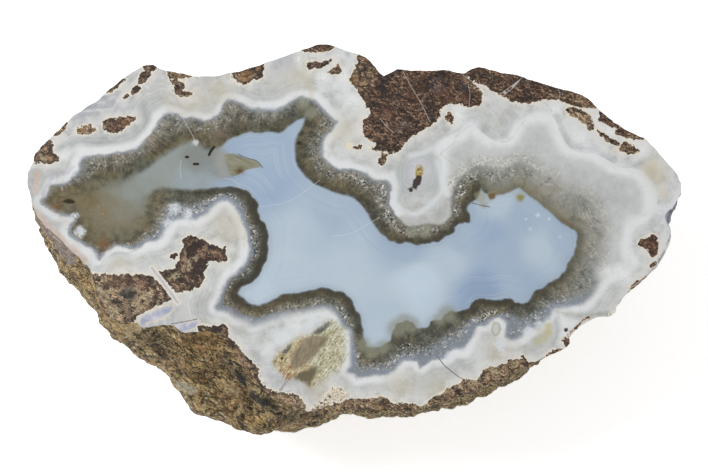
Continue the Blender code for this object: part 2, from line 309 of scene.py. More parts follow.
# Thin lines on the face, which the mesh follows, and broad soft ones
THIN_LINES = {
    "vein": (
        ((402, 70), (412, 88), (422, 105), (430, 122)),
        ((461, 74), (470, 80), (482, 89)),
        ((523, 77), (514, 84), (500, 94)),
        ((520, 80), (514, 87), (508, 92), (501, 97)),
        ((468, 84), (470, 94), (469, 105)),
        ((557, 88), (560, 93), (559, 99)),
        ((380, 118), (386, 126), (394, 133)),
    ),
    "crack": (
        ((438, 357), (444, 365), (450, 370), (459, 377), (468, 381)),
        ((170, 324), (183, 322), (197, 319)),
        ((472, 203), (480, 205), (490, 207)),
        ((238, 154), (247, 158), (257, 161), (263, 168)),
        ((57, 203), (58, 199), (61, 197), (66, 198)),
        ((34, 214), (46, 227), (60, 240), (75, 254), (88, 267)),
        ((408, 189), (413, 187), (417, 190)),
    ),
    "seam": (
        ((551, 178), (558, 187), (572, 194), (585, 198)),
        ((440, 154), (452, 163), (463, 173)),
        ((440, 154), (449, 147), (456, 141)),
        ((207, 169), (214, 173), (221, 177), (235, 177)),
        ((519, 191), (519, 182)),
        ((575, 233), (583, 229), (590, 228)),
        ((525, 75), (531, 90), (534, 101)),
        ((337, 74), (331, 66), (327, 60)),
    ),
    "speck": (
        ((214, 147), (211, 151), (209, 155)),
        ((186, 157), (188, 157)),
        ((194, 164), (198, 164)),
    ),
    "rusty_line": (
        ((569, 336), (572, 331), (579, 325), (583, 320), (589, 317)),
        ((628, 292), (638, 284), (646, 277)),
    ),
    "hair": (
        ((181, 160), (180, 169), (181, 178)),
        ((183, 118), (189, 129), (195, 140)),
        ((260, 207), (290, 201), (320, 180)),
        ((332, 236), (352, 233), (380, 217)),
        ((224, 178), (233, 180), (240, 186)),
        ((539, 301), (545, 304), (551, 309)),
        ((160, 92), (163, 89), (167, 90), (164, 93), (160, 92)),
    ),
}
BROAD_LINES = {
    "band": (
        ((393, 173), (392, 187), (394, 202)),
        ((393, 204), (404, 211), (415, 214), (425, 209), (434, 201), (442, 191), (442, 176), (438, 162)),
        ((432, 149), (422, 153), (410, 156)),
        ((263, 353), (284, 337), (306, 325), (330, 314)),
    ),
    "sheet": (((152, 268), (165, 285), (178, 303)),),
    "streak": (((303, 58), (308, 80), (312, 98)), ((166, 100), (172, 118), (178, 126))),
    "arc": (
        ((483, 127), (486, 134), (495, 140), (505, 142), (513, 137), (519, 128), (526, 119)),
        ((556, 118), (561, 132), (568, 144), (577, 151), (592, 152), (606, 158), (620, 166), (631, 167), (641, 163)),
        ((640, 208), (633, 216), (625, 222)),
        ((455, 137), (464, 130), (470, 126), (477, 126), (483, 133)),
        ((60, 148), (76, 142), (92, 143), (110, 142), (126, 140), (137, 134), (147, 121), (143, 109)),
        ((71, 146), (84, 139), (104, 138), (122, 137), (133, 132)),
        ((553, 346), (557, 334), (556, 322), (553, 314)),
        ((98, 268), (106, 258), (116, 253), (128, 253), (138, 250)),
    ),
    "ribbon": (
        (
            (440, 155), (458, 147), (470, 138), (476, 134), (482, 140), (492, 146), (504, 148), (514, 143),
            (520, 131), (526, 125), (536, 120), (546, 118), (552, 125), (558, 137), (564, 149), (576, 157),
            (590, 157), (600, 161), (610, 168), (624, 172), (636, 174), (646, 184), (650, 196),
        ),
        ((64, 155), (70, 149), (80, 147), (96, 151), (112, 149), (128, 144), (142, 138), (152, 128), (158, 117)),
        ((100, 265), (108, 257), (118, 252), (132, 253), (146, 246), (160, 242), (170, 229)),
    ),
    "sage": (((556, 311), (566, 314), (577, 316), (592, 315), (610, 314)),),
    "flush": (((37, 213), (46, 223), (58, 235), (72, 248), (86, 261)), ((38, 173), (37, 182), (36, 192))),
    "lilac_line": (((52, 178), (47, 186), (43, 195), (45, 203)), ((57, 176), (66, 173), (73, 167))),
    "violet_line": (((280, 391), (284, 385), (289, 377)), ((646, 278), (657, 264), (666, 248), (671, 234))),
}

# Soft fields on the face: a place in the picture and a value from 0 to 1
SOFT_FIELDS = {
    "tone": (
        (80, 178, 0.45), (120, 165, 0.4), (160, 135, 0.4), (200, 130, 0.4), (250, 120, 0.4), (300, 110, 0.4),
        (60, 192, 0.45), (318, 150, 0.35), (335, 180, 0.3), (370, 195, 0.25), (400, 232, 0.3), (430, 235, 0.4),
        (462, 212, 0.3), (468, 185, 0.45), (500, 182, 0.75), (540, 190, 0.75), (580, 222, 0.75), (588, 250, 0.7),
        (570, 280, 0.6), (540, 310, 0.45), (500, 312, 0.1), (470, 315, 0.2), (430, 335, 0.15), (400, 345, 0.1),
        (372, 358, 0.25), (355, 330, 0.25), (330, 300, 0.25), (290, 303, 0.35), (250, 312, 0.4), (240, 300, 0.1),
        (250, 285, 0.05), (258, 250, 0.0), (252, 215, 0.1), (225, 193, 0.3), (190, 205, 0.45), (165, 210, 0.5),
    ),
    "shade": (
        (120, 180, 0), (170, 150, 0.1), (230, 140, 0.2), (280, 130, 0.3), (300, 125, 0.4), (299, 160, 0.6),
        (330, 190, 0.6), (360, 205, 0.6), (380, 230, 0.6), (410, 244, 0.8), (445, 238, 0.9), (470, 220, 0.9),
        (475, 195, 0.7), (500, 193, 0.2), (545, 207, 0.15), (572, 235, 0.5), (575, 255, 0.6), (555, 280, 0.8),
        (520, 303, 0.7), (495, 300, 1), (465, 310, 0.8), (440, 320, 0.1), (418, 330, 0), (395, 330, 0.1),
        (385, 345, 0.1), (362, 340, 0.5), (355, 310, 1), (330, 290, 0.9), (290, 295, 0.8), (255, 306, 0.5),
        (238, 295, 0.9), (262, 265, 1), (268, 240, 1), (258, 210, 1), (240, 190, 0.9), (210, 189, 0.6),
        (170, 190, 0.2), (120, 240, 0),
    ),
    "scallop": (
        (420, 244, 1), (460, 228, 1), (500, 195, 0), (545, 207, 0), (575, 250, 0.8), (550, 285, 0.8), (500, 300, 1),
        (400, 322, 1), (360, 340, 0.3), (345, 322, 0.25), (330, 290, 0.6), (260, 300, 0.4), (265, 240, 0.5),
        (250, 192, 0.5), (300, 140, 0.1), (370, 215, 0.2), (170, 150, 0.1), (120, 240, 0),
    ),
    "mist": (
        (380, 365, 0.35), (410, 350, 0.3), (440, 345, 0.45), (490, 315, 0.1), (505, 330, 0.65), (530, 325, 0.45),
        (480, 325, 0.5), (355, 350, 0.35), (350, 335, 0.2), (300, 300, 0.15), (250, 310, 0.3), (232, 275, 0.2),
        (252, 240, 0.25), (235, 195, 0.4), (190, 210, 0.5), (150, 235, 0.3), (95, 250, 0.15), (80, 235, 0.2),
        (330, 150, 0.08), (345, 175, 0.15), (385, 200, 0.15), (420, 230, 0.05), (280, 110, 0.12), (200, 125, 0.1),
        (150, 140, 0.06), (90, 165, 0.05), (60, 190, 0.0), (460, 200, 0.1), (520, 170, 0), (590, 220, 0),
        (590, 270, 0.1), (560, 300, 0.3),
    ),
    "crumbs": (
        (470, 190, 1), (458, 215, 1), (430, 228, 0.8), (392, 215, 1), (380, 195, 0.9), (340, 175, 0.7),
        (328, 150, 0.5), (300, 105, 0.25), (240, 110, 0.3), (180, 120, 0.3), (130, 155, 0.3), (80, 175, 0.35),
        (55, 195, 0.2), (500, 160, 0.8), (530, 170, 0.6), (560, 195, 0.15), (590, 235, 0.4), (570, 280, 0.4),
        (540, 315, 0.5), (490, 320, 0.7), (440, 345, 0.6), (400, 350, 0.8), (365, 365, 0.5), (300, 300, 0.6),
        (330, 300, 0.8), (260, 310, 0.2), (245, 270, 0.4), (255, 235, 0.9), (240, 200, 1), (200, 205, 0.7),
        (150, 235, 0.8), (90, 245, 0.3),
    ),
    "blur": (
        (255, 318, 1), (285, 318, 1), (310, 313, 0.6), (345, 330, 0.25), (350, 360, 0.3), (390, 370, 0.2),
        (230, 290, 0.3), (250, 240, 0.1), (200, 210, 0.3), (100, 250, 0.1), (60, 190, 0.1), (150, 140, 0.1),
        (250, 105, 0.2), (330, 130, 0.1), (380, 180, 0.2), (450, 210, 0.3), (500, 140, 0.3), (600, 165, 0.3),
        (630, 230, 0.5), (560, 305, 0.3), (480, 325, 0.2), (430, 358, 0.1), (410, 240, 0.1), (380, 210, 0),
        (350, 170, 0.1), (540, 180, 0.1), (585, 205, 0.1), (600, 240, 0.9), (598, 262, 0.8),
    ),
    "arm": (
        (50, 200, 1.0), (65, 194, 0.94), (60, 207, 1.0), (85, 200, 0.84), (80, 225, 0.78), (100, 215, 0.72),
        (95, 240, 0.82), (120, 235, 0.74), (140, 225, 0.64), (145, 205, 0.5), (130, 193, 0.4), (125, 208, 0.62),
        (110, 200, 0.68), (115, 190, 0.5), (150, 185, 0.35), (150, 170, 0.32), (165, 160, 0.3), (175, 180, 0.28),
        (190, 160, 0.3), (210, 150, 0.3), (215, 170, 0.22), (185, 185, 0.25), (230, 180, 0.12), (235, 145, 0.08),
        (260, 150, 0), (260, 190, 0), (400, 250, 0), (550, 240, 0), (300, 280, 0), (370, 330, 0),
    ),
    "light": (
        (225, 165, 0.25), (260, 180, 0.3), (280, 150, 0.35), (300, 120, 0.5), (300, 230, 0.68), (285, 270, 0.75),
        (350, 270, 0.78), (330, 210, 0.5), (420, 280, 1), (380, 320, 0.7), (450, 260, 0.7), (500, 250, 0.42),
        (480, 290, 0.1), (460, 240, 0.45), (520, 290, 0.4), (541, 247, 0.75), (492, 234, 0.28), (520, 215, 0.45),
        (500, 205, 0.72), (560, 240, 0.45), (250, 290, 0.9), (405, 248, 0.4),
    ),
    "lines": (
        (270, 180, 1), (300, 170, 0.8), (320, 200, 0.7), (345, 215, 0.8), (375, 240, 0.9), (400, 262, 0.5),
        (440, 265, 0.4), (490, 290, 0.8), (520, 290, 0.5), (340, 260, 0), (300, 250, 0.3), (275, 280, 0.5),
        (240, 160, 0.6), (420, 300, 0.1), (545, 245, 0.5), (560, 230, 0.4), (380, 300, 0), (200, 170, 0),
    ),
    "milk": (
        (300, 328, 1), (275, 345, 0.9), (347, 350, 0.8), (255, 340, 0.6), (400, 370, 0.7), (360, 385, 0.5),
        (440, 372, 0.4), (480, 340, 0.7), (520, 345, 0.5), (545, 340, 0.4), (590, 300, 0.5), (640, 260, 0.7),
        (660, 200, 1), (640, 160, 1), (575, 140, 0.9), (540, 110, 0.7), (490, 110, 0.5), (455, 110, 0.9),
        (430, 145, 0.5), (400, 165, 0.4), (350, 110, 0.9), (335, 90, 0.95), (345, 75, 0.9), (300, 80, 0.5),
        (565, 330, 1), (260, 90, 0.4), (210, 90, 0.4), (160, 95, 0.3), (110, 110, 0.3), (80, 120, 0.3),
        (60, 150, 0.45), (35, 190, 0.2), (60, 225, 0.3), (90, 255, 0.35), (130, 258, 0.6), (200, 225, 0.7),
        (235, 240, 0.6), (215, 280, 0.5), (190, 300, 0.4), (230, 325, 0.4), (250, 355, 0.3), (300, 395, 0.4),
    ),
    "tint": (
        (430, 90, 0), (400, 130, 0), (520, 90, 0.1), (578, 118, 0.45), (615, 125, 0.1), (630, 150, 0.4),
        (650, 245, 0.1), (567, 342, 0.1), (553, 353, 0.2), (195, 265, 0), (180, 285, 0.3), (110, 285, 0.5),
        (130, 305, 0.8), (150, 295, 0.6), (125, 279, 0.2), (145, 280, 0.3), (95, 290, 0.8), (230, 345, 0.2),
        (255, 378, 0.5), (300, 400, 0.7), (350, 405, 0.6), (420, 408, 0.6), (490, 378, 0.45), (366, 62, 0.8),
        (353, 78, 1), (385, 82, 0), (372, 100, 0), (45, 155, 0.3), (150, 72, 0.3), (118, 125, 0.15), (82, 130, 0.9),
        (92, 128, 0.3), (180, 86, 0.1), (250, 74, 0.35), (318, 47, 0.2), (180, 75, 1),
    ),
    "glow": (
        (60, 185, 0.9), (100, 155, 1), (150, 138, 0.9), (200, 120, 0.8), (260, 108, 0.9), (320, 105, 1),
        (325, 150, 1), (350, 170, 0.9), (380, 183, 0.5), (390, 200, 0.2), (410, 226, 0), (440, 222, 0),
        (450, 200, 0.1), (446, 165, 0), (470, 128, 0), (505, 165, 0), (560, 190, 0), (590, 225, 0), (600, 255, 0),
        (640, 180, 0), (630, 230, 0), (592, 285, 0.2), (560, 308, 0.9), (500, 325, 1), (450, 350, 0.9),
        (400, 365, 0.9), (350, 350, 1), (300, 312, 0.6), (240, 300, 0.6), (245, 240, 0.9), (200, 215, 0.9),
        (130, 250, 0.9), (80, 240, 1), (45, 205, 0.8),
    ),
    "east": (
        (270, 360, 0), (290, 345, 0.1), (300, 380, 0.2), (318, 380, 0.5), (325, 350, 0.8), (345, 345, 1),
        (335, 375, 0.9),
    ),
    "gloom": (
        (320, 340, 0.2), (305, 350, 0), (298, 364, 0), (312, 358, 0.1), (305, 376, 1), (310, 385, 1), (314, 370, 1),
    ),
    "blotchy": (
        (205, 260, 1), (185, 280, 1), (140, 300, 0.6), (110, 285, 0.5), (248, 75, 1), (118, 125, 0.2), (86, 130, 0.3),
        (150, 72, 0.8), (45, 155, 0.7), (180, 88, 0.4), (318, 48, 0.2), (320, 64, 0.4), (400, 100, 0.0),
        (440, 85, 0.1), (520, 88, 0.2), (580, 118, 0.3), (620, 132, 0.3), (650, 245, 0.1), (235, 345, 0.7),
        (350, 405, 0.4), (500, 372, 0.3), (360, 70, 0.6),
    ),
    "hairy": (
        (70, 180, 0.7), (100, 165, 1), (140, 152, 1), (165, 130, 1), (200, 128, 0.7), (240, 115, 0.5),
        (290, 110, 0.5), (330, 150, 0.3), (390, 195, 0.2), (440, 230, 0.1), (500, 180, 0.1), (590, 230, 0.2),
        (500, 330, 0.2), (300, 305, 0.3), (240, 280, 0.2), (230, 195, 0.4), (150, 235, 0.4),
    ),
    "fine": (
        (100, 150, 0.8), (60, 175, 0.7), (150, 125, 0.5), (200, 110, 0.2), (300, 85, 0.2), (350, 140, 0.3),
        (380, 170, 0.5), (420, 160, 0.4), (470, 110, 0.4), (520, 115, 0.3), (560, 130, 0.3), (620, 160, 0.3),
        (640, 220, 0.6), (600, 290, 0.5), (520, 345, 0.4), (430, 375, 0.3), (330, 395, 0.2), (260, 360, 0.3),
        (240, 250, 0.6), (200, 230, 0.4), (130, 265, 0.4), (70, 240, 0.4),
    ),
}

# Soft round spots on the face: a place in the picture and a radius in mm
SPOTS = {
    "wedge": ((349, 146, 0.9),),
    "cream": (
        (190, 100, 4.0), (300, 75, 3.0), (230, 225, 4.0), (345, 130, 3.5), (655, 172, 3.5), (545, 332, 1.6),
        (120, 262, 3.0), (320, 395, 3.0), (440, 390, 3.0), (500, 350, 3.0), (220, 90, 3.0), (400, 385, 3.0),
    ),
    "peach": (
        (650, 168, 1.8), (657, 178, 1.5), (662, 192, 1.4), (615, 152, 0.7),
    ),
    "sparkle": (
        (530, 229, 0.35), (538, 215, 0.5), (526, 219, 0.25), (560, 237, 0.3), (245, 285, 0.4), (549, 219, 0.3),
    ),
    "cluster": (
        (175, 208, 1.5), (80, 231, 1.4), (528, 331, 1.4), (196, 143, 0.8), (188, 215, 1.3), (539, 324, 1.1),
        (500, 346, 1.6), (74, 216, 1.1), (168, 224, 1.2),
    ),
    "dark": (
        (127, 293, 1.0), (125, 291, 0.8), (419, 178, 0.5), (417, 182, 0.7), (415, 186, 0.5), (411, 190, 0.35),
        (299, 143, 0.35), (282, 358, 0.25), (566, 330, 0.35),
    ),
    "moss": (
        (397, 328, 1.9), (404, 321, 1.5), (411, 325, 1.6), (447, 314, 1.7), (439, 319, 1.2), (364, 345, 1.4),
        (372, 351, 1.4), (383, 347, 1.4), (303, 104, 1.3), (311, 112, 1.3), (424, 231, 1.4), (412, 231, 1.2),
    ),
    "fog": ((221, 158, 1.3), (221, 165, 1.4), (223, 172, 1.2)),
    "veil": ((403, 221, 1.3), (412, 224, 1.7), (424, 223, 1.8), (436, 221, 1.8), (446, 213, 1.7), (450, 203, 1.5)),
    "stain": (
        (549, 326, 1.0), (548, 333, 1.1), (544, 338, 1.1), (538, 341, 1.0),
    ),
    "tarnish": ((481, 197, 1.6), (484, 205, 1.1), (520, 197, 1.4), (491, 196, 1.2)),
    "rust": ((240, 171, 0.9), (104, 244, 1.5), (56, 207, 1.0)),
    "ember": ((286, 374, 1.3), (290, 368, 0.9), (283, 380, 0.8)),
    "tawny": (
        (246, 75, 1.5), (258, 68, 0.7), (82, 129, 0.7), (354, 80, 1.2), (352, 72, 0.7), (126, 123, 0.9),
        (50, 159, 0.8),
    ),
    "mauve": ((222, 133, 1.5), (236, 312, 1.0)),
    "lilac": (
        (62, 128, 2.4), (76, 113, 3.0), (92, 100, 3.0), (108, 95, 2.5), (122, 102, 2.5), (288, 62, 2.0),
        (662, 212, 2.0),
    ),
    "slate": ((404, 124, 1.1), (438, 86, 1.4), (463, 86, 0.9), (397, 131, 0.8)),
    "russet": (
        (650, 245, 2.2), (408, 97, 1.5), (446, 95, 2.0), (460, 98, 2.0), (386, 112, 1.8), (118, 126, 1.4),
        (114, 281, 2.2), (130, 280, 2.0), (145, 283, 1.6),
    ),
    "pearl": (
        (146, 299, 1.4), (140, 305, 1.2), (150, 293, 0.7), (104, 297, 1.5), (112, 311, 1.5), (98, 288, 1.0),
        (188, 266, 1.0), (176, 275, 1.0), (196, 259, 0.8), (99, 126, 0.9), (45, 158, 1.0), (300, 399, 1.0),
        (280, 394, 0.8), (355, 401, 0.6), (380, 399, 0.6), (425, 404, 0.7), (445, 389, 1.1), (470, 383, 1.1),
        (496, 370, 1.2), (515, 364, 0.9),
    ),
    "shine": (
        (580, 137, 1.7), (555, 110, 1.6), (460, 114, 1.8), (300, 60, 1.2), (345, 77, 1.8), (322, 77, 1.5),
        (353, 100, 1.6), (601, 121, 1.6), (612, 131, 1.6), (631, 143, 1.6), (641, 150, 1.6), (564, 322, 1.8),
        (562, 336, 1.8), (600, 285, 1.8), (625, 276, 1.6), (352, 348, 1.4), (298, 327, 1.1),
    ),
}

# Soft spots on the rind: a place in the picture and a radius in mm
RIND_SPOTS = {
    # Golden rind: partly the rock's own golden brown, partly a painted highlight on the lit lumps
    "golden_and_highlit": (
        (205, 340, 2.5), (86, 292, 2.0), (96, 305, 1.8), (165, 345, 2.2), (255, 425, 2.5), (275, 428, 2.0),
        (292, 425, 2.5), (310, 421, 2.0), (225, 415, 2.0), (195, 372, 2.5), (213, 362, 2.2), (208, 352, 3.0),
        (233, 351, 1.6),
    ),
    "pale": (
        (106, 320, 1.3), (114, 326, 1.8), (124, 331, 2.0), (136, 328, 1.5), (119, 340, 1.2), (152, 364, 1.1),
        (160, 369, 1.2), (167, 375, 1.1), (196, 404, 0.9), (202, 409, 0.9), (200, 334, 0.9), (207, 333, 0.7),
    ),
    "frost": ((178, 384, 1.1), (185, 388, 1.4), (191, 392, 1.1)),
    "amber": (
        (172, 368, 1.1), (168, 361, 1.0), (112, 318, 1.2), (105, 309, 1.2), (199, 338, 1.2), (118, 332, 1.1),
        (130, 333, 1.0), (208, 330, 0.8),
    ),
    "rusty": (
        (222, 340, 2.0), (240, 358, 2.0), (104, 316, 1.3), (178, 330, 2.0), (215, 375, 2.0), (283, 420, 2.5),
        (302, 418, 2.0), (238, 405, 1.8),
    ),
    "mauve_skin": (
        (39, 219, 1.0), (43, 226, 1.4), (49, 235, 1.9), (55, 243, 2.2), (62, 251, 2.2), (69, 258, 1.7),
        (80, 269, 0.7),
    ),
    "violet": ((672, 216, 4.0), (670, 228, 5.0), (664, 245, 5.0), (655, 265, 4.0), (645, 280, 3.0)),
    "mossy": ((229, 355, 1.6), (236, 366, 2.0), (243, 378, 2.2), (254, 391, 2.4), (267, 401, 2.0), (281, 407, 1.6)),
    # Painted shade: darkness laid in the crevice where the rind folds in under the face's edge
    "crevice": (
        (226, 356, 0.7), (231, 364, 0.9), (236, 372, 1.2), (241, 380, 1.5), (246, 387, 1.6), (251, 394, 1.5),
        (257, 400, 1.7), (264, 404, 2.0), (271, 408, 1.7), (279, 412, 1.0), (286, 417, 0.8), (205, 395, 0.6),
        (213, 400, 0.7), (168, 352, 0.6),
    ),
}

# Fields of the face: nearest places on the wall and on the shore, distances, patches, lines, shares and spots
PLACE_FIELDS = ("growth", "shore")
FACE_FIELDS = ("rim", "wall", "quartz", "pool", "across") + PLACE_FIELDS
FACE_FIELDS += tuple(PATCHES) + tuple(THIN_LINES) + tuple(BROAD_LINES) + tuple(SOFT_FIELDS) + tuple(SPOTS)
FIELD_REACH = 25.0

# Size of the mesh: points along the face's edge, rings down the rind, and spacing in mm on the face and its lines
EDGE_POINTS = 640
RIND_RINGS = 64
FACE_SPACING = 0.42
LINE_SPACING = 0.3

# Directions that patterns run in: turn in radians, and how far they are drawn out along and across
FACE_RUNS = {
    "host_run": (-0.45, 1.5, 0.85),
    "plume_run": (0.95, 3.2, 0.7),
    "core_run": (1.3, 2.4, 0.8),
    "fang_run": (-0.3, 3.5, 0.8),
}
RIND_RUNS = {"rind_run": (-0.6, 2.0, 0.85)}

# Noises: where each is read, how many mm its lumps are across, and its detail, roughness and distortion
FACE_NOISES = {
    "swell": ("place", 7.0, 2.0, 0.5, 0.0),
    "clump": ("place", 2.4, 2.0, 0.5, 0.0),
    "ripple": ("place", 1.8, 4.0, 0.62, 0.0),
    "notch": ("place", 0.95, 2.0, 0.5, 0.0),
    "curl": ("place", 0.85, 3.0, 0.6, 0.9),
    "grit": ("place", 0.5, 3.0, 0.7, 0.0),
    "sand": ("place", 0.36, 3.0, 0.75, 0.0),
    "white_cloud": ("place", 3.2, 5.0, 0.65, 0.0),
    "glass_patch": ("place", 4.0, 3.0, 0.6, 0.0),
    "grey_cloud": ("place", 2.6, 5.0, 0.6, 0.0),
    "blue_drift": ("place", 9.0, 3.0, 0.5, 0.0),
    "blotch": ("place", 1.7, 4.0, 0.6, 0.5),
    "rock_curl": ("host_run", 0.8, 3.0, 0.6, 2.0),
    "plume_fibre": ("plume_run", 0.42, 5.0, 0.72, 0.0),
    "core_streak": ("core_run", 0.9, 3.0, 0.6, 0.0),
    "fang_ridge": ("fang_run", 0.6, 3.0, 0.6, 0.0),
}
RIND_NOISES = {
    "region": ("place", 11.0, 3.0, 0.5, 0.0),
    "patch": ("place", 5.0, 4.0, 0.65, 0.5),
    "ripple": ("place", 1.8, 4.0, 0.62, 0.0),
    "grain": ("place", 0.5, 3.0, 0.75, 0.0),
    "shaded_fold": ("rind_run", 2.2, 5.0, 0.66, 1.8),
    "pale_edge": ("rind_run", 1.2, 4.0, 0.6, 1.4),
    "ledge": ("rind_run", 4.2, 5.0, 0.62, 1.6),
}

# Finish: quartz bends light by about 1.54; the buffed cut is glossy, the rock in it satin, and the rind dull
QUARTZ_IOR = 1.54
POLISHED_ROUGHNESS = 0.12
HOST_ROCK_ROUGHNESS = 0.38
RIND_ROUGHNESS = 0.72

# Shape of the cut edge and the rind, in mm: width and height of each kind of unevenness
CHIP_WIDTH, CHIP_DEPTH = 2.4, 0.22
LUMP_SIZE, LUMP_HEIGHT = (5.5, 5.5, 4.5), 0.6
KNOB_SIZE, KNOB_HEIGHT = (2.9, 2.9, 2.6), 0.65
CRACK_SHARE, CRACK_DEPTH = 0.16, 0.35
PEAK_SIZE, PEAK_HEIGHT = (1.7, 1.7, 1.5), 0.16
SETTLING_DEPTH = 1.5
HEART_DEPTH = 6.0
RING_CROWDING = 1.25
SMOOTHING_PASSES = 3

# Pairs of a point and a stretch of line that are measured at once
BATCH = 1500000


def curve(points, closed=True, steps=3):
    """A smooth line through the points, with more points."""
    points = np.array(points, float)
    if closed:
        before, after, beyond = (np.roll(points, shift, axis=0) for shift in (1, -1, -2))
    else:
        padded = np.vstack((2 * points[0] - points[1], points, 2 * points[-1] - points[-2]))
        before, points, after, beyond = padded[:-3], padded[1:-2], padded[2:-1], padded[3:]
    line = []
    for step in range(steps):
        t = step / steps
        line.append(
            points
            + 0.5 * t * (after - before)
            + t**2 * (before - 2.5 * points + 2 * after - 0.5 * beyond)
            + t**3 * (1.5 * (points - after) + 0.5 * (beyond - before))
        )
    line = np.stack(line, axis=1).reshape(-1, 2)
    return line if closed else np.vstack((line, after[-1]))


def respaced(line, count, closed=True):
    """The line as that many points, evenly spaced."""
    ends = np.vstack((line, line[:1])) if closed else line
    along = np.concatenate(([0], np.cumsum(np.linalg.norm(np.diff(ends, axis=0), axis=1))))
    places = np.linspace(0, along[-1], count, endpoint=not closed)
    return np.stack([np.interp(places, along, ends[:, axis]) for axis in (0, 1)], axis=1)


def nearest(points, line, closed=True, reach=12.0):
    """Distance of each point from the line and the place on the line nearest to it, in mm.

    The distance from a closed line is above zero inside it. Points further away than reach get reach.
    """
    starts = line if closed else line[:-1]
    ends = np.roll(line, -1, axis=0) if closed else line[1:]
    distance = np.full(len(points), reach)
    foot = points.copy()
    close = np.all((points > line.min(axis=0) - reach) & (points < line.max(axis=0) + reach), axis=1)
    inside = np.zeros(len(points), bool)
    run = ends - starts
    length = np.maximum((run**2).sum(axis=1), 1e-9)
    for batch in np.array_split(np.flatnonzero(close), max(1, close.sum() * len(starts) // BATCH)):
        if len(batch) == 0:
            continue
        place = points[batch]
        x, y = place[:, :1], place[:, 1:]
        from_start_x, from_start_y = x - starts[:, 0], y - starts[:, 1]
        t = np.clip((from_start_x * run[:, 0] + from_start_y * run[:, 1]) / length, 0, 1)
        apart = np.hypot(from_start_x - t * run[:, 0], from_start_y - t * run[:, 1])
        best = apart.argmin(axis=1)
        rows = np.arange(len(batch))
        distance[batch] = np.minimum(apart[rows, best], reach)
        foot[batch] = starts[best] + t[rows, best][:, None] * run[best]
        if closed:
            spans = (starts[:, 1] > y) != (ends[:, 1] > y)
            rise = np.where(np.abs(run[:, 1]) < 1e-9, 1e-9, run[:, 1])
            left = x < starts[:, 0] + from_start_y / rise * run[:, 0]
            inside[batch] = (spans & left).sum(axis=1) % 2 == 1
    return (np.where(inside, distance, -distance) if closed else distance), foot


def face_edge():
    """The edge of the polished face, with the small chips that cutting leaves."""
    flat = np.unique(face_points[:, :2].round(3), axis=0)
    turn = np.arctan2(flat[:, 1] - aim[1], flat[:, 0] - aim[0])
    loop = respaced(flat[np.argsort(turn)], EDGE_POINTS)
    inward = np.roll(loop, -1, axis=0) - np.roll(loop, 1, axis=0)
    inward = inward[:, ::-1] * (-1, 1) / np.linalg.norm(inward, axis=1)[:, None]
    chips = [CHIP_DEPTH * noise.fractal((x / CHIP_WIDTH, y / CHIP_WIDTH, 5.0), 0.8, 2.1, 4) for x, y in loop]
    return np.clip(loop + inward * np.array(chips)[:, None], low[:2], high[:2])


edge = face_edge()
lines = [curve(on_face(line), closed=False) for group in THIN_LINES.values() for line in group]


def face_lattice():
    """Points all over the face: the edge first, then points along the thin lines, then an even lattice."""
    along = [respaced(line, max(3, int(np.ptp(line, axis=0).max() / LINE_SPACING)), closed=False) for line in lines]
    along = np.vstack(along)
    along = along[nearest(along, edge)[0] > LINE_SPACING]
    row = FACE_SPACING * math.sqrt(3) / 2
    across, deep = np.meshgrid(np.arange(low[0], high[0], FACE_SPACING), np.arange(low[1], high[1], row))
    across[1::2] += FACE_SPACING / 2
    lattice = np.stack((across.ravel(), deep.ravel()), axis=1)
    lattice = lattice[nearest(lattice, edge)[0] > 0.5 * FACE_SPACING]
    for line in lines:
        lattice = lattice[nearest(lattice, line, closed=False, reach=2.0)[0] > 0.5 * FACE_SPACING]
    points = np.vstack((edge, along, lattice))
    ring = [(i, (i + 1) % EDGE_POINTS) for i in range(EDGE_POINTS)]
    _, _, triangles, sources, _, _ = delaunay_2d_cdt([Vector(point) for point in points], ring, [], 1, 1e-6)
    order = [min(source) for source in sources]
    return points, [[order[corner] for corner in triangle] for triangle in triangles]


def rind_relief(place):
    """How far the rind stands out at a place, in mm: broad lumps, knobs, cracks between them and small peaks."""
    broad = noise.fractal(place / LUMP_SIZE, 0.75, 2.1, 6)
    bent = place / KNOB_SIZE + (0.4 * broad, 0, 0)
    (first, second, _, _), _ = noise.voronoi(bent, distance_metric="DISTANCE")
    knob = 0.45 - first
    crack = max(0.0, 1 - (second - first) / CRACK_SHARE)
    peaks = noise.ridged_multi_fractal(place / PEAK_SIZE, 0.9, 2.1, 4, 1.0, 2.0) - 1.2
    return LUMP_HEIGHT * broad + KNOB_HEIGHT * knob - CRACK_DEPTH * crack + PEAK_HEIGHT * peaks


def rind_rings(rim):
    """Rings of points down the rind, from the face's edge to the middle of the resting spot, and their relief."""
    heart = np.array((aim[0], aim[1], FACE_HEIGHT - HEART_DEPTH))
    start = rim - heart
    start /= np.linalg.norm(start, axis=1)[:, None]
    down = np.array((0, 0, -1.0))
    swing = np.arccos(start @ down)[:, None]
    rings = [rim]
    for level in range(1, RIND_RINGS):
        turned = swing * (level / RIND_RINGS) ** RING_CROWDING
        rays = (np.sin(swing - turned) * start + np.sin(turned) * down) / np.sin(swing)
        rings.append(np.array([solid_tree.ray_cast(heart, ray)[0] for ray in rays]))
    rings = np.array(rings)
    for _ in range(SMOOTHING_PASSES):
        rings = (np.roll(rings, 1, axis=1) + 2 * rings + np.roll(rings, -1, axis=1)) / 4
        rings[1:-1] = (rings[:-2] + 2 * rings[1:-1] + rings[2:]) / 4
        rings[0] = rim
    along = np.roll(rings, -1, axis=1) - np.roll(rings, 1, axis=1)
    falling = np.gradient(rings, axis=0)
    outward = np.cross(falling, along)
    outward /= np.linalg.norm(outward, axis=2)[:, :, None]
    relief = np.array([[rind_relief(place) for place in ring] for ring in rings])
    depth = FACE_HEIGHT - rings[:, :, 2]
    settled = np.clip(depth / SETTLING_DEPTH, 0, 1) * np.clip(rings[:, :, 2], 0, 1)
    rings[1:] += (outward * (relief * settled)[:, :, None])[1:]
    return np.clip(rings, (low[0], low[1], 0), high), relief


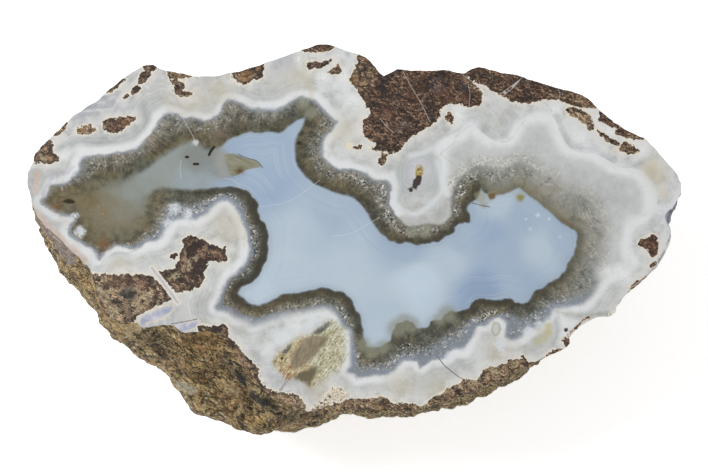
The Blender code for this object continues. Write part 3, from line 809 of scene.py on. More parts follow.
def blended(points, anchors):
    """A soft field through the anchors, each a place in the picture and its value."""
    anchors = np.array(anchors, float)
    apart = np.linalg.norm(points[:, None, :] - on_face(anchors[:, :2])[None], axis=2)
    weight = 1 / (apart**2 + 1.0) ** 2
    return (weight * anchors[:, 2]).sum(axis=1) / weight.sum(axis=1)


def spots(points, places):
    """Soft spots, strongest at 1: each has its middle, in mm, and its radius in mm."""
    share = np.zeros(len(points))
    for middle, radius in places:
        apart = np.linalg.norm(points - middle, axis=1) / radius
        share = np.maximum(share, np.exp(-(apart**2)))
    return share


def face_spots(points, places):
    """The spots that lie on the face."""
    return spots(points, [(on_face([place[:2]])[0], place[2]) for place in places])


def rind_spots(points, places):
    """The spots that lie where the camera first sees the stone."""
    found = []
    for place in places:
        hit = on_stone([place[:2]])
        if len(hit):
            found.append((hit[0], place[2]))
    return spots(points, found)


def union(points, patches, reach=6.0):
    """How far inside the nearest of the patches each point is, in mm, and below zero outside them all."""
    share = np.full(len(points), -reach)
    for patch in patches:
        share = np.maximum(share, nearest(points, curve(on_face(patch)), reach=reach)[0])
    return share


def line_distance(points, group, reach=3.0):
    """Distance of each point from the nearest of the lines, in mm."""
    share = np.full(len(points), reach)
    for line in group:
        share = np.minimum(share, nearest(points, curve(on_face(line), closed=False), closed=False, reach=reach)[0])
    return share


def face_fields(points):
    """What the stone is made of at each point of the face: distances in mm and soft shares."""
    quartz_wall = curve(on_face(QUARTZ_TOP_LEFT + QUARTZ_TOP_RIGHT + QUARTZ_BOTTOM))
    outer_wall = curve(on_face(QUARTZ_TOP_LEFT + GREY_TOP + QUARTZ_BOTTOM))
    shore_line = curve(on_face(BLUE_POOL))
    wall, growth = nearest(points, outer_wall, reach=FIELD_REACH)
    quartz, _ = nearest(points, quartz_wall, reach=FIELD_REACH)
    pool, shore = nearest(points, shore_line, reach=FIELD_REACH)
    lining = np.maximum(quartz, 0) + np.maximum(-pool, 0)
    fields = {
        "rim": nearest(points, edge, reach=FIELD_REACH)[0],
        "wall": wall,
        "quartz": quartz,
        "pool": pool,
        "across": np.maximum(quartz, 0) / np.maximum(lining, 1e-3),
        "growth": growth,
        "shore": shore,
    }
    for name, patches in PATCHES.items():
        fields[name] = union(points, patches)
    for name, group in (THIN_LINES | BROAD_LINES).items():
        fields[name] = line_distance(points, group)
    for name, anchors in SOFT_FIELDS.items():
        fields[name] = blended(points, anchors)
    for name, places in SPOTS.items():
        fields[name] = face_spots(points, places)
    return fields


def rind_fields(places, relief):
    """The rind's own relief and the soft spots."""
    fields = {"relief": relief}
    for name, middles in RIND_SPOTS.items():
        fields[name] = rind_spots(places, middles)
    return fields


def build_stone():
    """The whole stone in one closed mesh: the face's lattice and the rings of the rind, with their fields."""
    flat, triangles = face_lattice()
    face = np.column_stack((flat, np.full(len(flat), FACE_HEIGHT)))
    rings, relief = rind_rings(face[:EDGE_POINTS])
    pole = rings[-1].mean(axis=0)
    places = np.vstack((face, rings[1:].reshape(-1, 3), pole))
    around = np.arange(EDGE_POINTS)
    onward = np.roll(around, -1)
    index = np.vstack((around, len(face) + np.arange((RIND_RINGS - 1) * EDGE_POINTS).reshape(-1, EDGE_POINTS)))
    strips = [
        np.stack((upper[around], lower[around], lower[onward], upper[onward]), axis=1)
        for upper, lower in zip(index[:-1], index[1:])
    ]
    quads = np.vstack(strips).tolist()
    cap = np.stack((index[-1][around], np.full(EDGE_POINTS, len(places) - 1), index[-1][onward]), axis=1).tolist()

    mesh = bpy.data.meshes.new("banded_agate")
    mesh.from_pydata((places * MM).tolist(), [], triangles + quads + cap)
    mesh.polygons.foreach_set("material_index", [0] * len(triangles) + [1] * (len(quads) + len(cap)))
    mesh.polygons.foreach_set("use_smooth", [False] * len(triangles) + [True] * (len(quads) + len(cap)))
    ends = np.zeros(len(mesh.edges) * 2, int)
    mesh.edges.foreach_get("vertices", ends)
    ends = ends.reshape(-1, 2)
    step = np.abs(ends[:, 0] - ends[:, 1])
    sharp = (ends.max(axis=1) < EDGE_POINTS) & ((step == 1) | (step == EDGE_POINTS - 1))
    mesh.attributes.new("sharp_edge", "BOOLEAN", "EDGE").data.foreach_set("value", sharp)

    rough = np.concatenate((np.zeros(len(face)), relief[1:].ravel(), [0.0]))
    rough[:EDGE_POINTS] = relief[0]
    for name, values in (face_fields(flat) | rind_fields(places, rough)).items():
        if name in PLACE_FIELDS:
            whole = np.zeros((len(places), 3), np.float32)
            whole[: len(values), :2] = values
            mesh.attributes.new(name, "FLOAT_VECTOR", "POINT").data.foreach_set("vector", whole.ravel())
        else:
            whole = np.zeros(len(places), np.float32)
            whole[: len(values)] = values
            mesh.attributes.new(name, "FLOAT", "POINT").data.foreach_set("value", whole)
    lay_out(mesh, len(triangles), flat)
    return mesh


def lay_out(mesh, face_count, flat):
    """The map for baking: the face seen from above takes the upper part, and the unrolled rind the strip below it."""
    margin = 0.004
    scale = (1 - 2 * margin) / np.ptp(edge[:, 0])
    strip_top = 1 - 3 * margin - scale * np.ptp(edge[:, 1])
    corners = np.zeros(len(mesh.loops), int)
    mesh.loops.foreach_get("vertex_index", corners)
    starts = np.zeros(len(mesh.polygons), int)
    mesh.polygons.foreach_get("loop_start", starts)
    face_end = starts[face_count]
    uv = np.zeros((len(corners), 2))
    uv[:face_end] = margin + (flat[corners[:face_end]] - edge.min(axis=0)) * scale
    uv[:face_end, 1] += strip_top + margin
    cell = np.arange((RIND_RINGS - 1) * EDGE_POINTS)
    ring, turn = cell // EDGE_POINTS, cell % EDGE_POINTS
    quad = np.stack([np.stack((turn + right, ring + down)) for right, down in ((0, 0), (0, 1), (1, 1), (1, 0))])
    quad_end = face_end + 4 * len(cell)
    uv[face_end:quad_end] = quad.transpose(2, 0, 1).reshape(-1, 2)
    turn = np.arange(EDGE_POINTS)
    last = np.full(EDGE_POINTS, RIND_RINGS - 1)
    fan = np.stack((np.stack((turn, last)), np.stack((turn + 0.5, last + 1)), np.stack((turn + 1, last))))
    uv[quad_end:] = fan.transpose(2, 0, 1).reshape(-1, 2)
    uv[face_end:, 0] = margin + uv[face_end:, 0] / EDGE_POINTS * (1 - 2 * margin)
    uv[face_end:, 1] = strip_top - uv[face_end:, 1] / RIND_RINGS * (strip_top - margin)
    mesh.uv_layers.new(name="OFBake").data.foreach_set("uv", uv.ravel())


def linear(colour):
    """An sRGB hex colour as linear red, green and blue with full cover."""
    shares = [int(colour[i : i + 2], 16) / 255 for i in (0, 2, 4)]
    return tuple(s / 12.92 if s <= 0.04045 else ((s + 0.055) / 1.055) ** 2.4 for s in shares) + (1.0,)


def add(tree, kind, inputs=None, stops=None, **settings):
    """Adds a node, sets it, links or fills its inputs, and gives its main output. A text value is a colour."""
    node = tree.nodes.new("ShaderNode" + kind)
    for name, value in settings.items():
        setattr(node, name, value)
    for name, value in (inputs or {}).items():
        socket = node.inputs[name]
        if isinstance(value, bpy.types.NodeSocket):
            tree.links.new(value, socket)
        else:
            socket.default_value = linear(value) if isinstance(value, str) else value
    if stops:
        ramp = node.color_ramp
        while len(ramp.elements) < len(stops):
            ramp.elements.new(0.5)
        for element, (place, colour) in zip(ramp.elements, stops):
            element.position = place
            element.color = linear(colour)
    shown = [output for output in node.outputs if output.enabled]
    return shown[0] if shown else node


def paint(tree, ground, *coats):
    """Lays coats over the ground, each a mask, a colour and, where it isn't plain cover, the way it blends.

    A mask given as several shares is their product.
    """
    for mask, colour, *way in coats:
        if isinstance(mask, tuple):
            mask = times(tree, *mask)
        ground = add(
            tree,
            "Mix",
            {0: mask, 6: ground, 7: colour},
            data_type="RGBA",
            blend_type=way[0] if way else "MIX",
        )
    return ground


def bands(tree, distance, span, *stops):
    """Colours laid side by side along a distance in mm, up to the span."""
    share = add(tree, "MapRange", {0: distance, 1: 0.0, 2: span})
    return add(tree, "ValToRGB", {0: share}, stops=[(place / span, colour) for place, colour in stops])


def zone(tree, distance, start, end, waver=None, sway=0.0):
    """A mask that rises from 0 to 1 as the distance goes from start to end in mm, with an edge that wavers."""
    if waver is not None:
        distance = add(tree, "Math", {0: waver, 1: sway, 2: distance}, operation="MULTIPLY_ADD")
    return add(tree, "MapRange", {0: distance, 1: start, 2: end}, interpolation_type="SMOOTHSTEP")


def times(tree, *shares):
    """The shares multiplied."""
    product = shares[0]
    for share in shares[1:]:
        product = add(tree, "Math", {0: product, 1: share}, operation="MULTIPLY")
    return product


def strokes(tree, texture, width):
    """Thin curling lines where a noise passes its middle value."""
    offset = add(tree, "Math", {0: texture, 1: -0.5}, operation="ADD")
    apart = add(tree, "Math", {0: offset}, operation="ABSOLUTE")
    return add(tree, "MapRange", {0: apart, 1: width, 2: 0.0}, interpolation_type="SMOOTHSTEP")


def new_material(name):
    """An empty material and its node tree."""
    material = bpy.data.materials.new(name)
    material.use_nodes = True
    material.node_tree.nodes.clear()
    return material, material.node_tree


def measures(tree, names, runs, noises):
    """What a material reads: the mesh's fields, the place on the stone in mm, and the stone's noises."""
    found = {}
    for name in names:
        output = "Vector" if name in PLACE_FIELDS else "Fac"
        found[name] = add(tree, "Attribute", attribute_name=name).node.outputs[output]
    spot = add(tree, "TexCoord").node.outputs["Object"]
    place = found["place"] = add(tree, "VectorMath", {0: spot, "Scale": 1 / MM}, operation="SCALE")
    for name, (turn, length, width) in runs.items():
        lie = {"Vector": place, "Rotation": (0, 0, turn), "Scale": (length, width, 1.0)}
        found[name] = add(tree, "Mapping", lie, vector_type="TEXTURE")
    for name, (read_at, size, detail, roughness, distortion) in noises.items():
        shape = {"Scale": 1 / size, "Detail": detail, "Roughness": roughness, "Distortion": distortion}
        found[name] = add(tree, "TexNoise", {"Vector": found[read_at]} | shape)
    return found


def moved(tree, distance, *wavers):
    """The distance in mm, swayed to and fro by noises, each followed by how many mm it sways."""
    for waver, sway in zip(wavers[::2], wavers[1::2]):
        shifted = add(tree, "Math", {0: waver, 1: sway, 2: distance}, operation="MULTIPLY_ADD")
        distance = add(tree, "Math", {0: shifted, 1: -sway / 2}, operation="ADD")
    return distance


def grains(tree, f):
    """The grains that the zones share: crystal facets 0.36 mm across, and fibres that stand on the wall."""
    f["mottle"] = add(tree, "MapRange", {0: f["ripple"], 1: 0.36, 2: 0.64})
    f["sugar"] = add(tree, "MapRange", {0: f["sand"], 1: 0.34, 2: 0.66})
    f["lace"] = strokes(tree, f["curl"], 0.045)
    bent = add(tree, "VectorMath", {0: f["place"], 1: f["ripple"]}, operation="ADD")
    f["facet"] = add(tree, "TexVoronoi", {"Vector": bent, "Scale": 1 / 0.36}, feature="F1").node.outputs["Color"]
    root = add(tree, "Mix", {0: 0.14, 4: f["growth"], 5: f["place"]}, data_type="VECTOR")
    shape = {"Vector": root, "Scale": 1 / 0.36, "Detail": 3.0, "Roughness": 0.6, "Distortion": 0.2}
    f["fibre"] = add(tree, "TexNoise", shape)


def white_chalcedony(tree, f):
    """Milky white and grey bands that follow the wall of the cavity, cloudy and a little warm in places."""
    outward = add(tree, "Math", {0: f["wall"], 1: -1.0}, operation="MULTIPLY")
    waved = moved(tree, outward, f["swell"], 2.4, f["ripple"], 0.7)
    banded = bands(
        tree, waved, 12.0,
        (0.0, "DCE2EA"), (0.4, "F0F2F4"), (1.3, "EBEDEE"), (1.8, "D6D8D7"), (2.3, "C6C8C6"), (2.7, "D1D2D0"),
        (3.1, "C2C4C2"), (3.7, "D0D1CE"), (4.4, "C9CBC8"), (5.6, "D4D5D2"), (7.5, "CCCDCC"), (12.0, "C5C5C8"),
    )
    shape = {"W": waved, "Scale": 1 / 0.7, "Detail": 3.0, "Roughness": 0.7}
    fine = add(tree, "TexNoise", shape, noise_dimensions="1D")
    mist = f["white_cloud"]
    pale_line = times(tree, zone(tree, fine, 0.5, 0.68), f["fine"], zone(tree, mist, 0.35, 0.6), 0.9)
    grey_line = times(tree, zone(tree, fine, 0.5, 0.32), f["fine"], zone(tree, mist, 0.65, 0.4), 0.9)
    milky = times(tree, zone(tree, mist, 0.3, 0.62), zone(tree, f["milk"], 0.25, 1.0), 0.85)
    dim = zone(tree, f["milk"], 0.6, 0.1)
    warm = times(tree, zone(tree, mist, 0.5, 0.32), 0.35)
    near_rim = times(tree, zone(tree, f["rim"], 3.0, 0.0, f["ripple"], 1.5), dim, 0.45)
    near_host = times(tree, zone(tree, f["host"], -2.0, -0.3, f["ripple"], 1.0), zone(tree, mist, 0.35, 0.6), 0.7)
    glassy = times(tree, zone(tree, f["glass_patch"], 0.5, 0.62), zone(tree, outward, 1.5, 3.0), 0.4)
    return paint(
        tree, banded,
        ((dim, 0.3), "B4B5B9"),
        ((f["lilac"], 0.6), "BBBCC8"),
        (glassy, "B0B5B8"),
        (warm, "BEBAAC"),
        (pale_line, "E6E8E8"),
        (grey_line, "A6AAAD"),
        (milky, "E9ECED"),
        ((f["cream"], 0.6), "CDC5AF"),
        ((zone(tree, f["veil"], 0.1, 0.7), 0.8), "B9BAB7"),
        ((near_rim, 0.7), "ABA9B0"),
        (near_host, "E6E4DF"),
        ((zone(tree, moved(tree, f["ribbon"], f["ripple"], 0.8), 1.9, 0.4), 0.8), "ECEEEE"),
        ((zone(tree, f["sage"], 1.0, 0.0, f["ripple"], 0.4), 0.55), "A2A792"),
        ((zone(tree, moved(tree, f["flush"], f["ripple"], 1.2), 1.0, 0.1), 0.55), "D9BCA8"),
        ((zone(tree, moved(tree, f["lilac_line"], f["ripple"], 0.8), 0.6, 0.1), 0.4), "B3AAC4"),
        ((f["shine"], zone(tree, f["grit"], 0.3, 0.6)), "F4F6F6"),
        (
            (zone(tree, moved(tree, f["arc"], f["ripple"], 0.6), 1.5, 0.2), zone(tree, outward, 0.8, 1.6), 0.5),
            "B4B8B8",
        ),
        ((zone(tree, moved(tree, f["arc"], f["ripple"], 0.3), 0.35, 0.0), 0.35), "9CA2A4"),
        ((zone(tree, f["streak"], 1.1, 0.1, f["ripple"], 0.6), 0.6), "D3CDB6"),
        ((zone(tree, f["fibre"], 0.5, 0.75), 0.06), "ABACAC"),
        ((f["peach"], zone(tree, f["ripple"], 0.4, 0.56), 0.65), "DDCCAF"),
        ((zone(tree, moved(tree, f["wedge"], f["grit"], 0.6), 0.35, 0.6), 0.9), "F0E6CC"),
        (0.05, f["sugar"], "OVERLAY"),
        (0.08, f["mottle"], "OVERLAY"),
    )


def eye_rings(tree, f, ground):
    """The small eye above the pool: thin rings of lavender and grey round a hollow with golden and dark crumbs."""
    away_from = add(tree, "Math", {0: f["cavity"], 1: -1.0}, operation="MULTIPLY")
    away_from = moved(tree, away_from, f["ripple"], 1.2, f["clump"], 1.6)
    rings = bands(
        tree, away_from, 4.6,
        (0.0, "BFB49A"), (0.2, "D9D6CF"), (0.6, "CDCED4"), (1.5, "C9CAD0"), (2.1, "BEC2C3"), (2.4, "CACDCE"),
        (2.8, "B7BDBC"), (3.1, "C6CACA"), (3.5, "B6BCBA"), (3.9, "C8CCCB"), (4.6, "C6C9C8"),
    )
    ring = add(tree, "MapRange", {0: away_from, 1: 5.2, 2: 3.0, 3: 0.0, 4: 0.7}, interpolation_type="SMOOTHSTEP")
    fleck = times(tree, zone(tree, f["facet"], 0.72, 0.8), zone(tree, away_from, 2.5, 1.0), 0.35)
    crumbs = add(
        tree, "ValToRGB", {0: f["grit"]},
        stops=[(0.32, "4E3517"), (0.45, "94793E"), (0.56, "C3AF6D"), (0.68, "EFE8C8")],
    )
    return paint(
        tree, ground,
        (ring, rings),
        (fleck, "DFE0E4"),
        ((zone(tree, f["band"], 1.5, 0.2, f["ripple"], 0.8), 0.85), "E6EAEC"),
        (zone(tree, f["cavity"], 0.15, 0.45, f["grit"], 0.5), crumbs),
        ((zone(tree, f["facet"], 0.7, 0.74), f["dark"]), "F0EBDC"),
    )


def grey_chalcedony(tree, f):
    """Clear grey chalcedony between the white bands and the quartz at the right: smooth, with faint growth lines."""
    depth = moved(tree, f["wall"], f["swell"], 2.5)
    clear = bands(
        tree, depth, 9.0,
        (0.0, "EFF1F1"), (0.7, "E4E6E5"), (1.5, "D4D6D5"), (3.0, "CDCFCE"), (5.0, "C7C9C8"), (7.0, "BEBFBD"),
        (9.0, "AFAFA8"),
    )
    haze = f["grey_cloud"]
    near_quartz = times(tree, zone(tree, f["quartz"], -2.4, 0.0, f["ripple"], 1.6), 0.5)
    fleck = times(tree, zone(tree, f["facet"], 0.84, 0.9), zone(tree, haze, 0.5, 0.65), 0.5)
    seed = times(tree, zone(tree, f["quartz"], -1.6, -0.2, f["clump"], 2.4), f["crumbs"])
    return paint(
        tree, clear,
        (add(tree, "MapRange", {0: haze, 1: 0.5, 2: 0.72, 3: 0.0, 4: 0.25}), "DADCDB"),
        (add(tree, "MapRange", {0: haze, 1: 0.5, 2: 0.3, 3: 0.0, 4: 0.18}), "A6A8A6"),
        ((zone(tree, f["fibre"], 0.5, 0.75), 0.12), "9B9C98"),
        ((f["shine"], zone(tree, f["grit"], 0.3, 0.6)), "F4F6F6"),
        (near_quartz, "A19F96"),
        (fleck, "E4E4E0"),
        ((seed, zone(tree, f["clump"], 0.4, 0.6), zone(tree, f["facet"], 0.6, 0.7), 0.8), "E9E8E2"),
        ((seed, zone(tree, f["facet"], 0.3, 0.2), 0.6), "8C8C86"),
        ((seed, f["lace"], 0.9), "EFEDE6"),
        (0.05, f["sugar"], "OVERLAY"),
        (0.08, f["mottle"], "OVERLAY"),
    )


def quartz_lining(tree, f):
    """Grey quartz that lines the cavity: a misty fringe at the wall, sugary grains, then darker crystal tips."""
    across = moved(tree, f["across"], f["ripple"], 0.34)
    from_wall = moved(tree, f["quartz"], f["ripple"], 1.5)
    usual = add(
        tree, "ValToRGB", {0: across},
        stops=[
            (0.0, "8D9190"), (0.2, "7D7C74"), (0.42, "6E6B5F"), (0.65, "5C5849"), (0.85, "5F5B47"), (1.0, "6A6855"),
        ],
    )
    pale = add(
        tree, "ValToRGB", {0: across},
        stops=[(0.0, "B6B6B1"), (0.3, "A5A49C"), (0.6, "9B988B"), (0.85, "97917E"), (1.0, "8C866F")],
    )
    body = paint(tree, usual, (zone(tree, f["tone"], 0.4, 0.8), pale), (zone(tree, f["tone"], 0.3, 0.0), "454134"))
    brown = times(tree, zone(tree, f["swell"], 0.48, 0.62), 0.4)
    green = times(tree, zone(tree, f["swell"], 0.5, 0.38), 0.3)
    still = zone(tree, f["arm"], 0.85, 0.35)
    murky = zone(tree, f["tone"], 0.75, 0.45)
    broad = times(tree, zone(tree, f["ripple"], 0.52, 0.36), zone(tree, f["tone"], 0.8, 0.4), 0.5)
    inner = zone(tree, from_wall, 0.3, 1.0)
    grained = times(tree, inner, zone(tree, f["tone"], 0.9, 0.4), zone(tree, f["hairy"], 1.2, 0.2))
    near_wall = times(tree, inner, zone(tree, across, 0.66, 0.28), f["crumbs"])
    clustered = times(tree, near_wall, zone(tree, f["clump"], 0.38, 0.58))
    mist_edge = add(tree, "Math", {0: f["mist"], 1: across}, operation="SUBTRACT")
    misty = times(tree, zone(tree, mist_edge, -0.12, 0.2), zone(tree, f["mist"], 0.05, 0.25), 0.85)
    crinkled = moved(tree, from_wall, f["notch"], 1.0, f["grit"], 1.0)
    fringe = times(tree, zone(tree, crinkled, 0.75, 0.0), f["glow"], zone(tree, f["clump"], 0.25, 0.6))
    root = add(tree, "Mix", {0: 0.35, 4: f["growth"], 5: f["place"]}, data_type="VECTOR")
    crystals = add(tree, "TexVoronoi", {"Vector": root, "Scale": 1 / 2.2}, feature="DISTANCE_TO_EDGE")
    joint = times(tree, zone(tree, crystals, 0.06, 0.0), zone(tree, f["tone"], 0.5, 0.8), 0.15)
    return paint(
        tree, body,
        (brown, "7A6B4B"),
        (green, "66706C"),
        (broad, "45443A"),
        ((zone(tree, f["fibre"], 0.5, 0.72), zone(tree, across, 0.9, 0.2), 0.5), "AAA89D"),
        ((zone(tree, f["fibre"], 0.5, 0.28), 0.4), "3B3A30"),
        ((zone(tree, f["fibre"], 0.5, 0.64), f["hairy"], zone(tree, across, 0.95, 0.55), 0.38), "9A9280"),
        ((zone(tree, f["fibre"], 0.46, 0.34), f["hairy"], zone(tree, across, 1.0, 0.6), 0.32), "524C3E"),
        (joint, "555144"),
        ((grained, still, 0.5), f["sugar"], "OVERLAY"),
        (add(tree, "MapRange", {0: murky, 3: 0.08, 4: 0.3}), f["mottle"], "OVERLAY"),
        (misty, "8B939F"),
        ((clustered, zone(tree, f["facet"], 0.5, 0.4), 0.8), "23271F"),
        ((near_wall, zone(tree, f["facet"], 0.68, 0.78), 0.55), "C2C0B5"),
        ((clustered, zone(tree, f["facet"], 0.76, 0.84), 0.9), "EEEBE2"),
        ((clustered, f["lace"], 0.85), "E9E8E1"),
        ((fringe, 0.7), "A7AFBC"),
        ((zone(tree, f["facet"], 0.93, 0.97), zone(tree, across, 0.95, 0.4), 0.6), "CFCDC4"),
    )


def blue_chalcedony(tree, f):
    """Blue-grey chalcedony that fills the cavity: clear and smooth, with faint lines that repeat its shore."""
    drift = f["blue_drift"]
    light = moved(tree, f["light"], drift, 0.35)
    blue = add(
        tree, "ValToRGB", {0: light},
        stops=[(0.0, "90A6C5"), (0.3, "A6BAD2"), (0.6, "B7C8D8"), (0.8, "C3D3E0"), (1.0, "CCDCEC")],
    )
    waved = moved(tree, f["pool"], f["swell"], 1.2)
    shape = {"W": waved, "Scale": 1 / 0.6, "Detail": 2.0, "Roughness": 0.6}
    ring = add(tree, "TexNoise", shape, noise_dimensions="1D")
    near = times(tree, f["lines"], zone(tree, f["pool"], 6.5, 3.0))
    line = times(tree, zone(tree, ring, 0.52, 0.66), near, zone(tree, drift, 0.3, 0.55), 0.38)
    shadow = times(tree, zone(tree, ring, 0.46, 0.34), near, 0.14)
    near_shore = times(tree, zone(tree, f["pool"], 1.8, 0.0), 0.4)
    arm = moved(tree, f["arm"], f["ripple"], 0.16, f["swell"], 0.12)
    arm_colour = add(
        tree, "ValToRGB", {0: arm},
        stops=[
            (0.0, "A9B7C1"), (0.3, "9AA2A0"), (0.5, "8D8F86"), (0.72, "837B62"), (0.85, "84744F"), (1.0, "8E7140"),
        ],
    )
    spark = times(tree, f["sparkle"], f["sparkle"])
    return paint(
        tree, blue,
        (near_shore, "98A6B3"),
        (line, "DCE5EE"),
        (shadow, "93A4BA"),
        (zone(tree, arm, 0.04, 0.3), arm_colour),
        ((zone(tree, f["ripple"], 0.5, 0.62), zone(tree, arm, 0.6, 0.95), 0.5), "94703F"),
        ((zone(tree, f["clump"], 0.5, 0.36), zone(tree, arm, 0.6, 0.9), 0.35), "5F5A42"),
        ((zone(tree, f["grit"], 0.45, 0.75), zone(tree, arm, 0.3, 0.6), 0.25), "A5A08F"),
        ((zone(tree, f["facet"], 0.9, 0.95), zone(tree, arm, 0.5, 0.8), 0.5), "B9B6A6"),
        ((zone(tree, f["sparkle"], 0.0, 0.8), 0.6), "D5E0EE"),
        (zone(tree, spark, 0.5, 0.85), "FBFDFF"),
    )


def rock(tree, place, graininess, joint_colour, *shades):
    """Granular rock in curled flakes: five shades from dark to pale, broken into grains and small clods."""
    flake_shape = {"Scale": 1 / 1.6, "Detail": 6.0, "Roughness": 0.74, "Distortion": 2.2}
    grain_shape = {"Scale": 1 / 0.34, "Detail": 3.0, "Roughness": 0.8, "Distortion": 0.8}
    flakes, grain = (add(tree, "TexNoise", {"Vector": place} | shape) for shape in (flake_shape, grain_shape))
    bend = add(tree, "Math", {0: flakes, 1: 2.5}, operation="MULTIPLY")
    bent = add(tree, "VectorMath", {0: place, 1: bend}, operation="ADD")
    clod = add(tree, "TexVoronoi", {"Vector": bent, "Scale": 1 / 0.9}, feature="F1").node.outputs["Color"]
    joint = add(tree, "TexVoronoi", {"Vector": bent, "Scale": 1 / 1.6}, feature="DISTANCE_TO_EDGE")
    shade = moved(tree, flakes, grain, graininess, clod, 0.2)
    body = add(tree, "ValToRGB", {0: shade}, stops=list(zip((0.28, 0.41, 0.5, 0.59, 0.72), shades)))
    gap = (zone(tree, joint, 0.08, 0.0), zone(tree, flakes, 0.58, 0.46), 0.7)
    return paint(tree, body, (gap, joint_colour))


def host_rock(tree, f):
    """Fine brown volcanic rock that the agate grew in: dark flakes, reddish patches and pale flecks."""
    red = rock(tree, f["host_run"], 1.5, "0A0503", "140A06", "2C1A0F", "48301D", "67462F", "B4957C")
    ochre = rock(tree, f["host_run"], 1.5, "120B07", "1D130B", "4B3723", "7F6347", "B1916E", "EAD5B2")
    pale_grains = add(tree, "ValToRGB", {0: f["sugar"]}, stops=[(0.2, "5A4A34"), (0.45, "A39170"), (0.75, "D9CCA6")])
    patchy = zone(tree, f["blotchy"], 0.15, 0.8)
    black = times(tree, zone(tree, f["clump"], 0.53, 0.61), zone(tree, f["grit"], 0.35, 0.5), 0.75)
    red_patch = times(tree, f["russet"], zone(tree, f["ripple"], 0.4, 0.6), 0.6)
    curls = strokes(tree, f["rock_curl"], 0.018)
    pearly = zone(tree, moved(tree, f["pearl"], f["ripple"], 1.8, f["notch"], 1.6), 0.3, 0.7)
    tawny = zone(tree, moved(tree, f["tawny"], f["notch"], 1.0), 0.25, 0.6)
    bubble = moved(tree, f["bubble"], f["notch"], 1.6)
    crumbled = add(tree, "ValToRGB", {0: f["ripple"]}, stops=[(0.38, "231D17"), (0.52, "3F382E"), (0.64, "7A756A")])
    return paint(
        tree, red,
        (zone(tree, f["tint"], 0.2, 0.8, f["ripple"], 0.3), ochre),
        (black, "0E0907"),
        (red_patch, "6E4534"),
        ((zone(tree, f["blotch"], 0.53, 0.63), zone(tree, f["grit"], 0.35, 0.5), patchy, 0.8), "AC8E72"),
        ((zone(tree, f["blotch"], 0.5, 0.44), patchy, 0.8), "200F07"),
        ((pearly, zone(tree, f["grit"], 0.36, 0.5), 0.75), pale_grains),
        ((tawny, zone(tree, f["grit"], 0.4, 0.56), 0.7), "9C7448"),
        ((f["slate"], zone(tree, f["grit"], 0.48, 0.62), 0.6), "65707C"),
        ((curls, zone(tree, f["ripple"], 0.5, 0.6), 0.6), "A98F80"),
        ((zone(tree, moved(tree, f["host"], f["notch"], 1.0), 0.8, 0.2), patchy, 0.7), "2C1A10"),
        ((zone(tree, moved(tree, bubble, f["grit"], 0.8), -0.5, -0.2), 0.4), "8D8574"),
        (zone(tree, moved(tree, bubble, f["grit"], 0.6), -0.15, 0.3), crumbled),
    )


def plume_inclusion(tree, f):
    """A plume of pale golden fibres round a smooth olive core, in the white chalcedony below the pool."""
    fibres = f["plume_fibre"]
    warm = add(
        tree, "ValToRGB", {0: fibres},
        stops=[(0.32, "6B5838"), (0.44, "AA9872"), (0.57, "D5C7A2"), (0.72, "F0EAD6")],
    )
    cool = add(
        tree, "ValToRGB", {0: fibres},
        stops=[(0.32, "6F6A48"), (0.43, "ABA57F"), (0.53, "CBC8AE"), (0.66, "E6E7DC")],
    )
    glass = add(tree, "ValToRGB", {0: f["core_streak"]}, stops=[(0.3, "7F745C"), (0.5, "92866F"), (0.7, "A89D88")])
    core = zone(tree, moved(tree, f["core"], f["ripple"], 1.2, fibres, 2.4), -0.3, 0.5)
    return paint(
        tree, warm,
        (zone(tree, f["east"], 0.35, 0.65), cool),
        (core, glass),
        ((core, zone(tree, f["gloom"], 0.3, 0.8), 0.8), "665D43"),
        ((zone(tree, f["core"], 0.3, -0.2), 0.5), f["sugar"], "OVERLAY"),
        (zone(tree, moved(tree, f["slit"], f["grit"], 0.8), -0.2, 0.4), "65645E"),
        ((f["ember"], zone(tree, fibres, 0.56, 0.44), 0.85), "9B6038"),
    )


def cavity_marks(tree, f):
    """Coats over the cavity's zones: haze, frosty clusters, iron stains, the small eye and soft moss."""
    ripple, grit = f["ripple"], f["grit"]
    shed = moved(tree, f["cluster"], ripple, 1.2, grit, 0.8)
    return (
        ((zone(tree, f["haze"], -1.2, 1.4, ripple, 0.8), 0.55), "7F827B"),
        ((zone(tree, shed, 0.25, 0.9), zone(tree, f["facet"], -0.4, 0.7), 0.9), "E2E7EC"),
        ((f["mauve"], zone(tree, grit, 0.3, 0.6), 0.6), "7B6A66"),
        ((f["rust"], zone(tree, grit, 0.3, 0.6), 0.85), "84592F"),
        ((zone(tree, moved(tree, f["stain"], ripple, 1.6), 0.2, 1.1), 0.7), "C6BF8C"),
        ((zone(tree, moved(tree, f["tarnish"], ripple, 1.0), 0.2, 0.9), 0.6), "A3A283"),
        ((zone(tree, moved(tree, f["small_eye"], grit, 0.6), -0.35, 0.0), 0.55), "9F9F84"),
        ((zone(tree, moved(tree, f["small_eye"], grit, 0.4), 0.1, 0.3), 0.9), "D3D6D1"),
        ((zone(tree, f["moss"], 0.1, 0.8, ripple, 0.2), 0.6), "9A9B88"),
    )


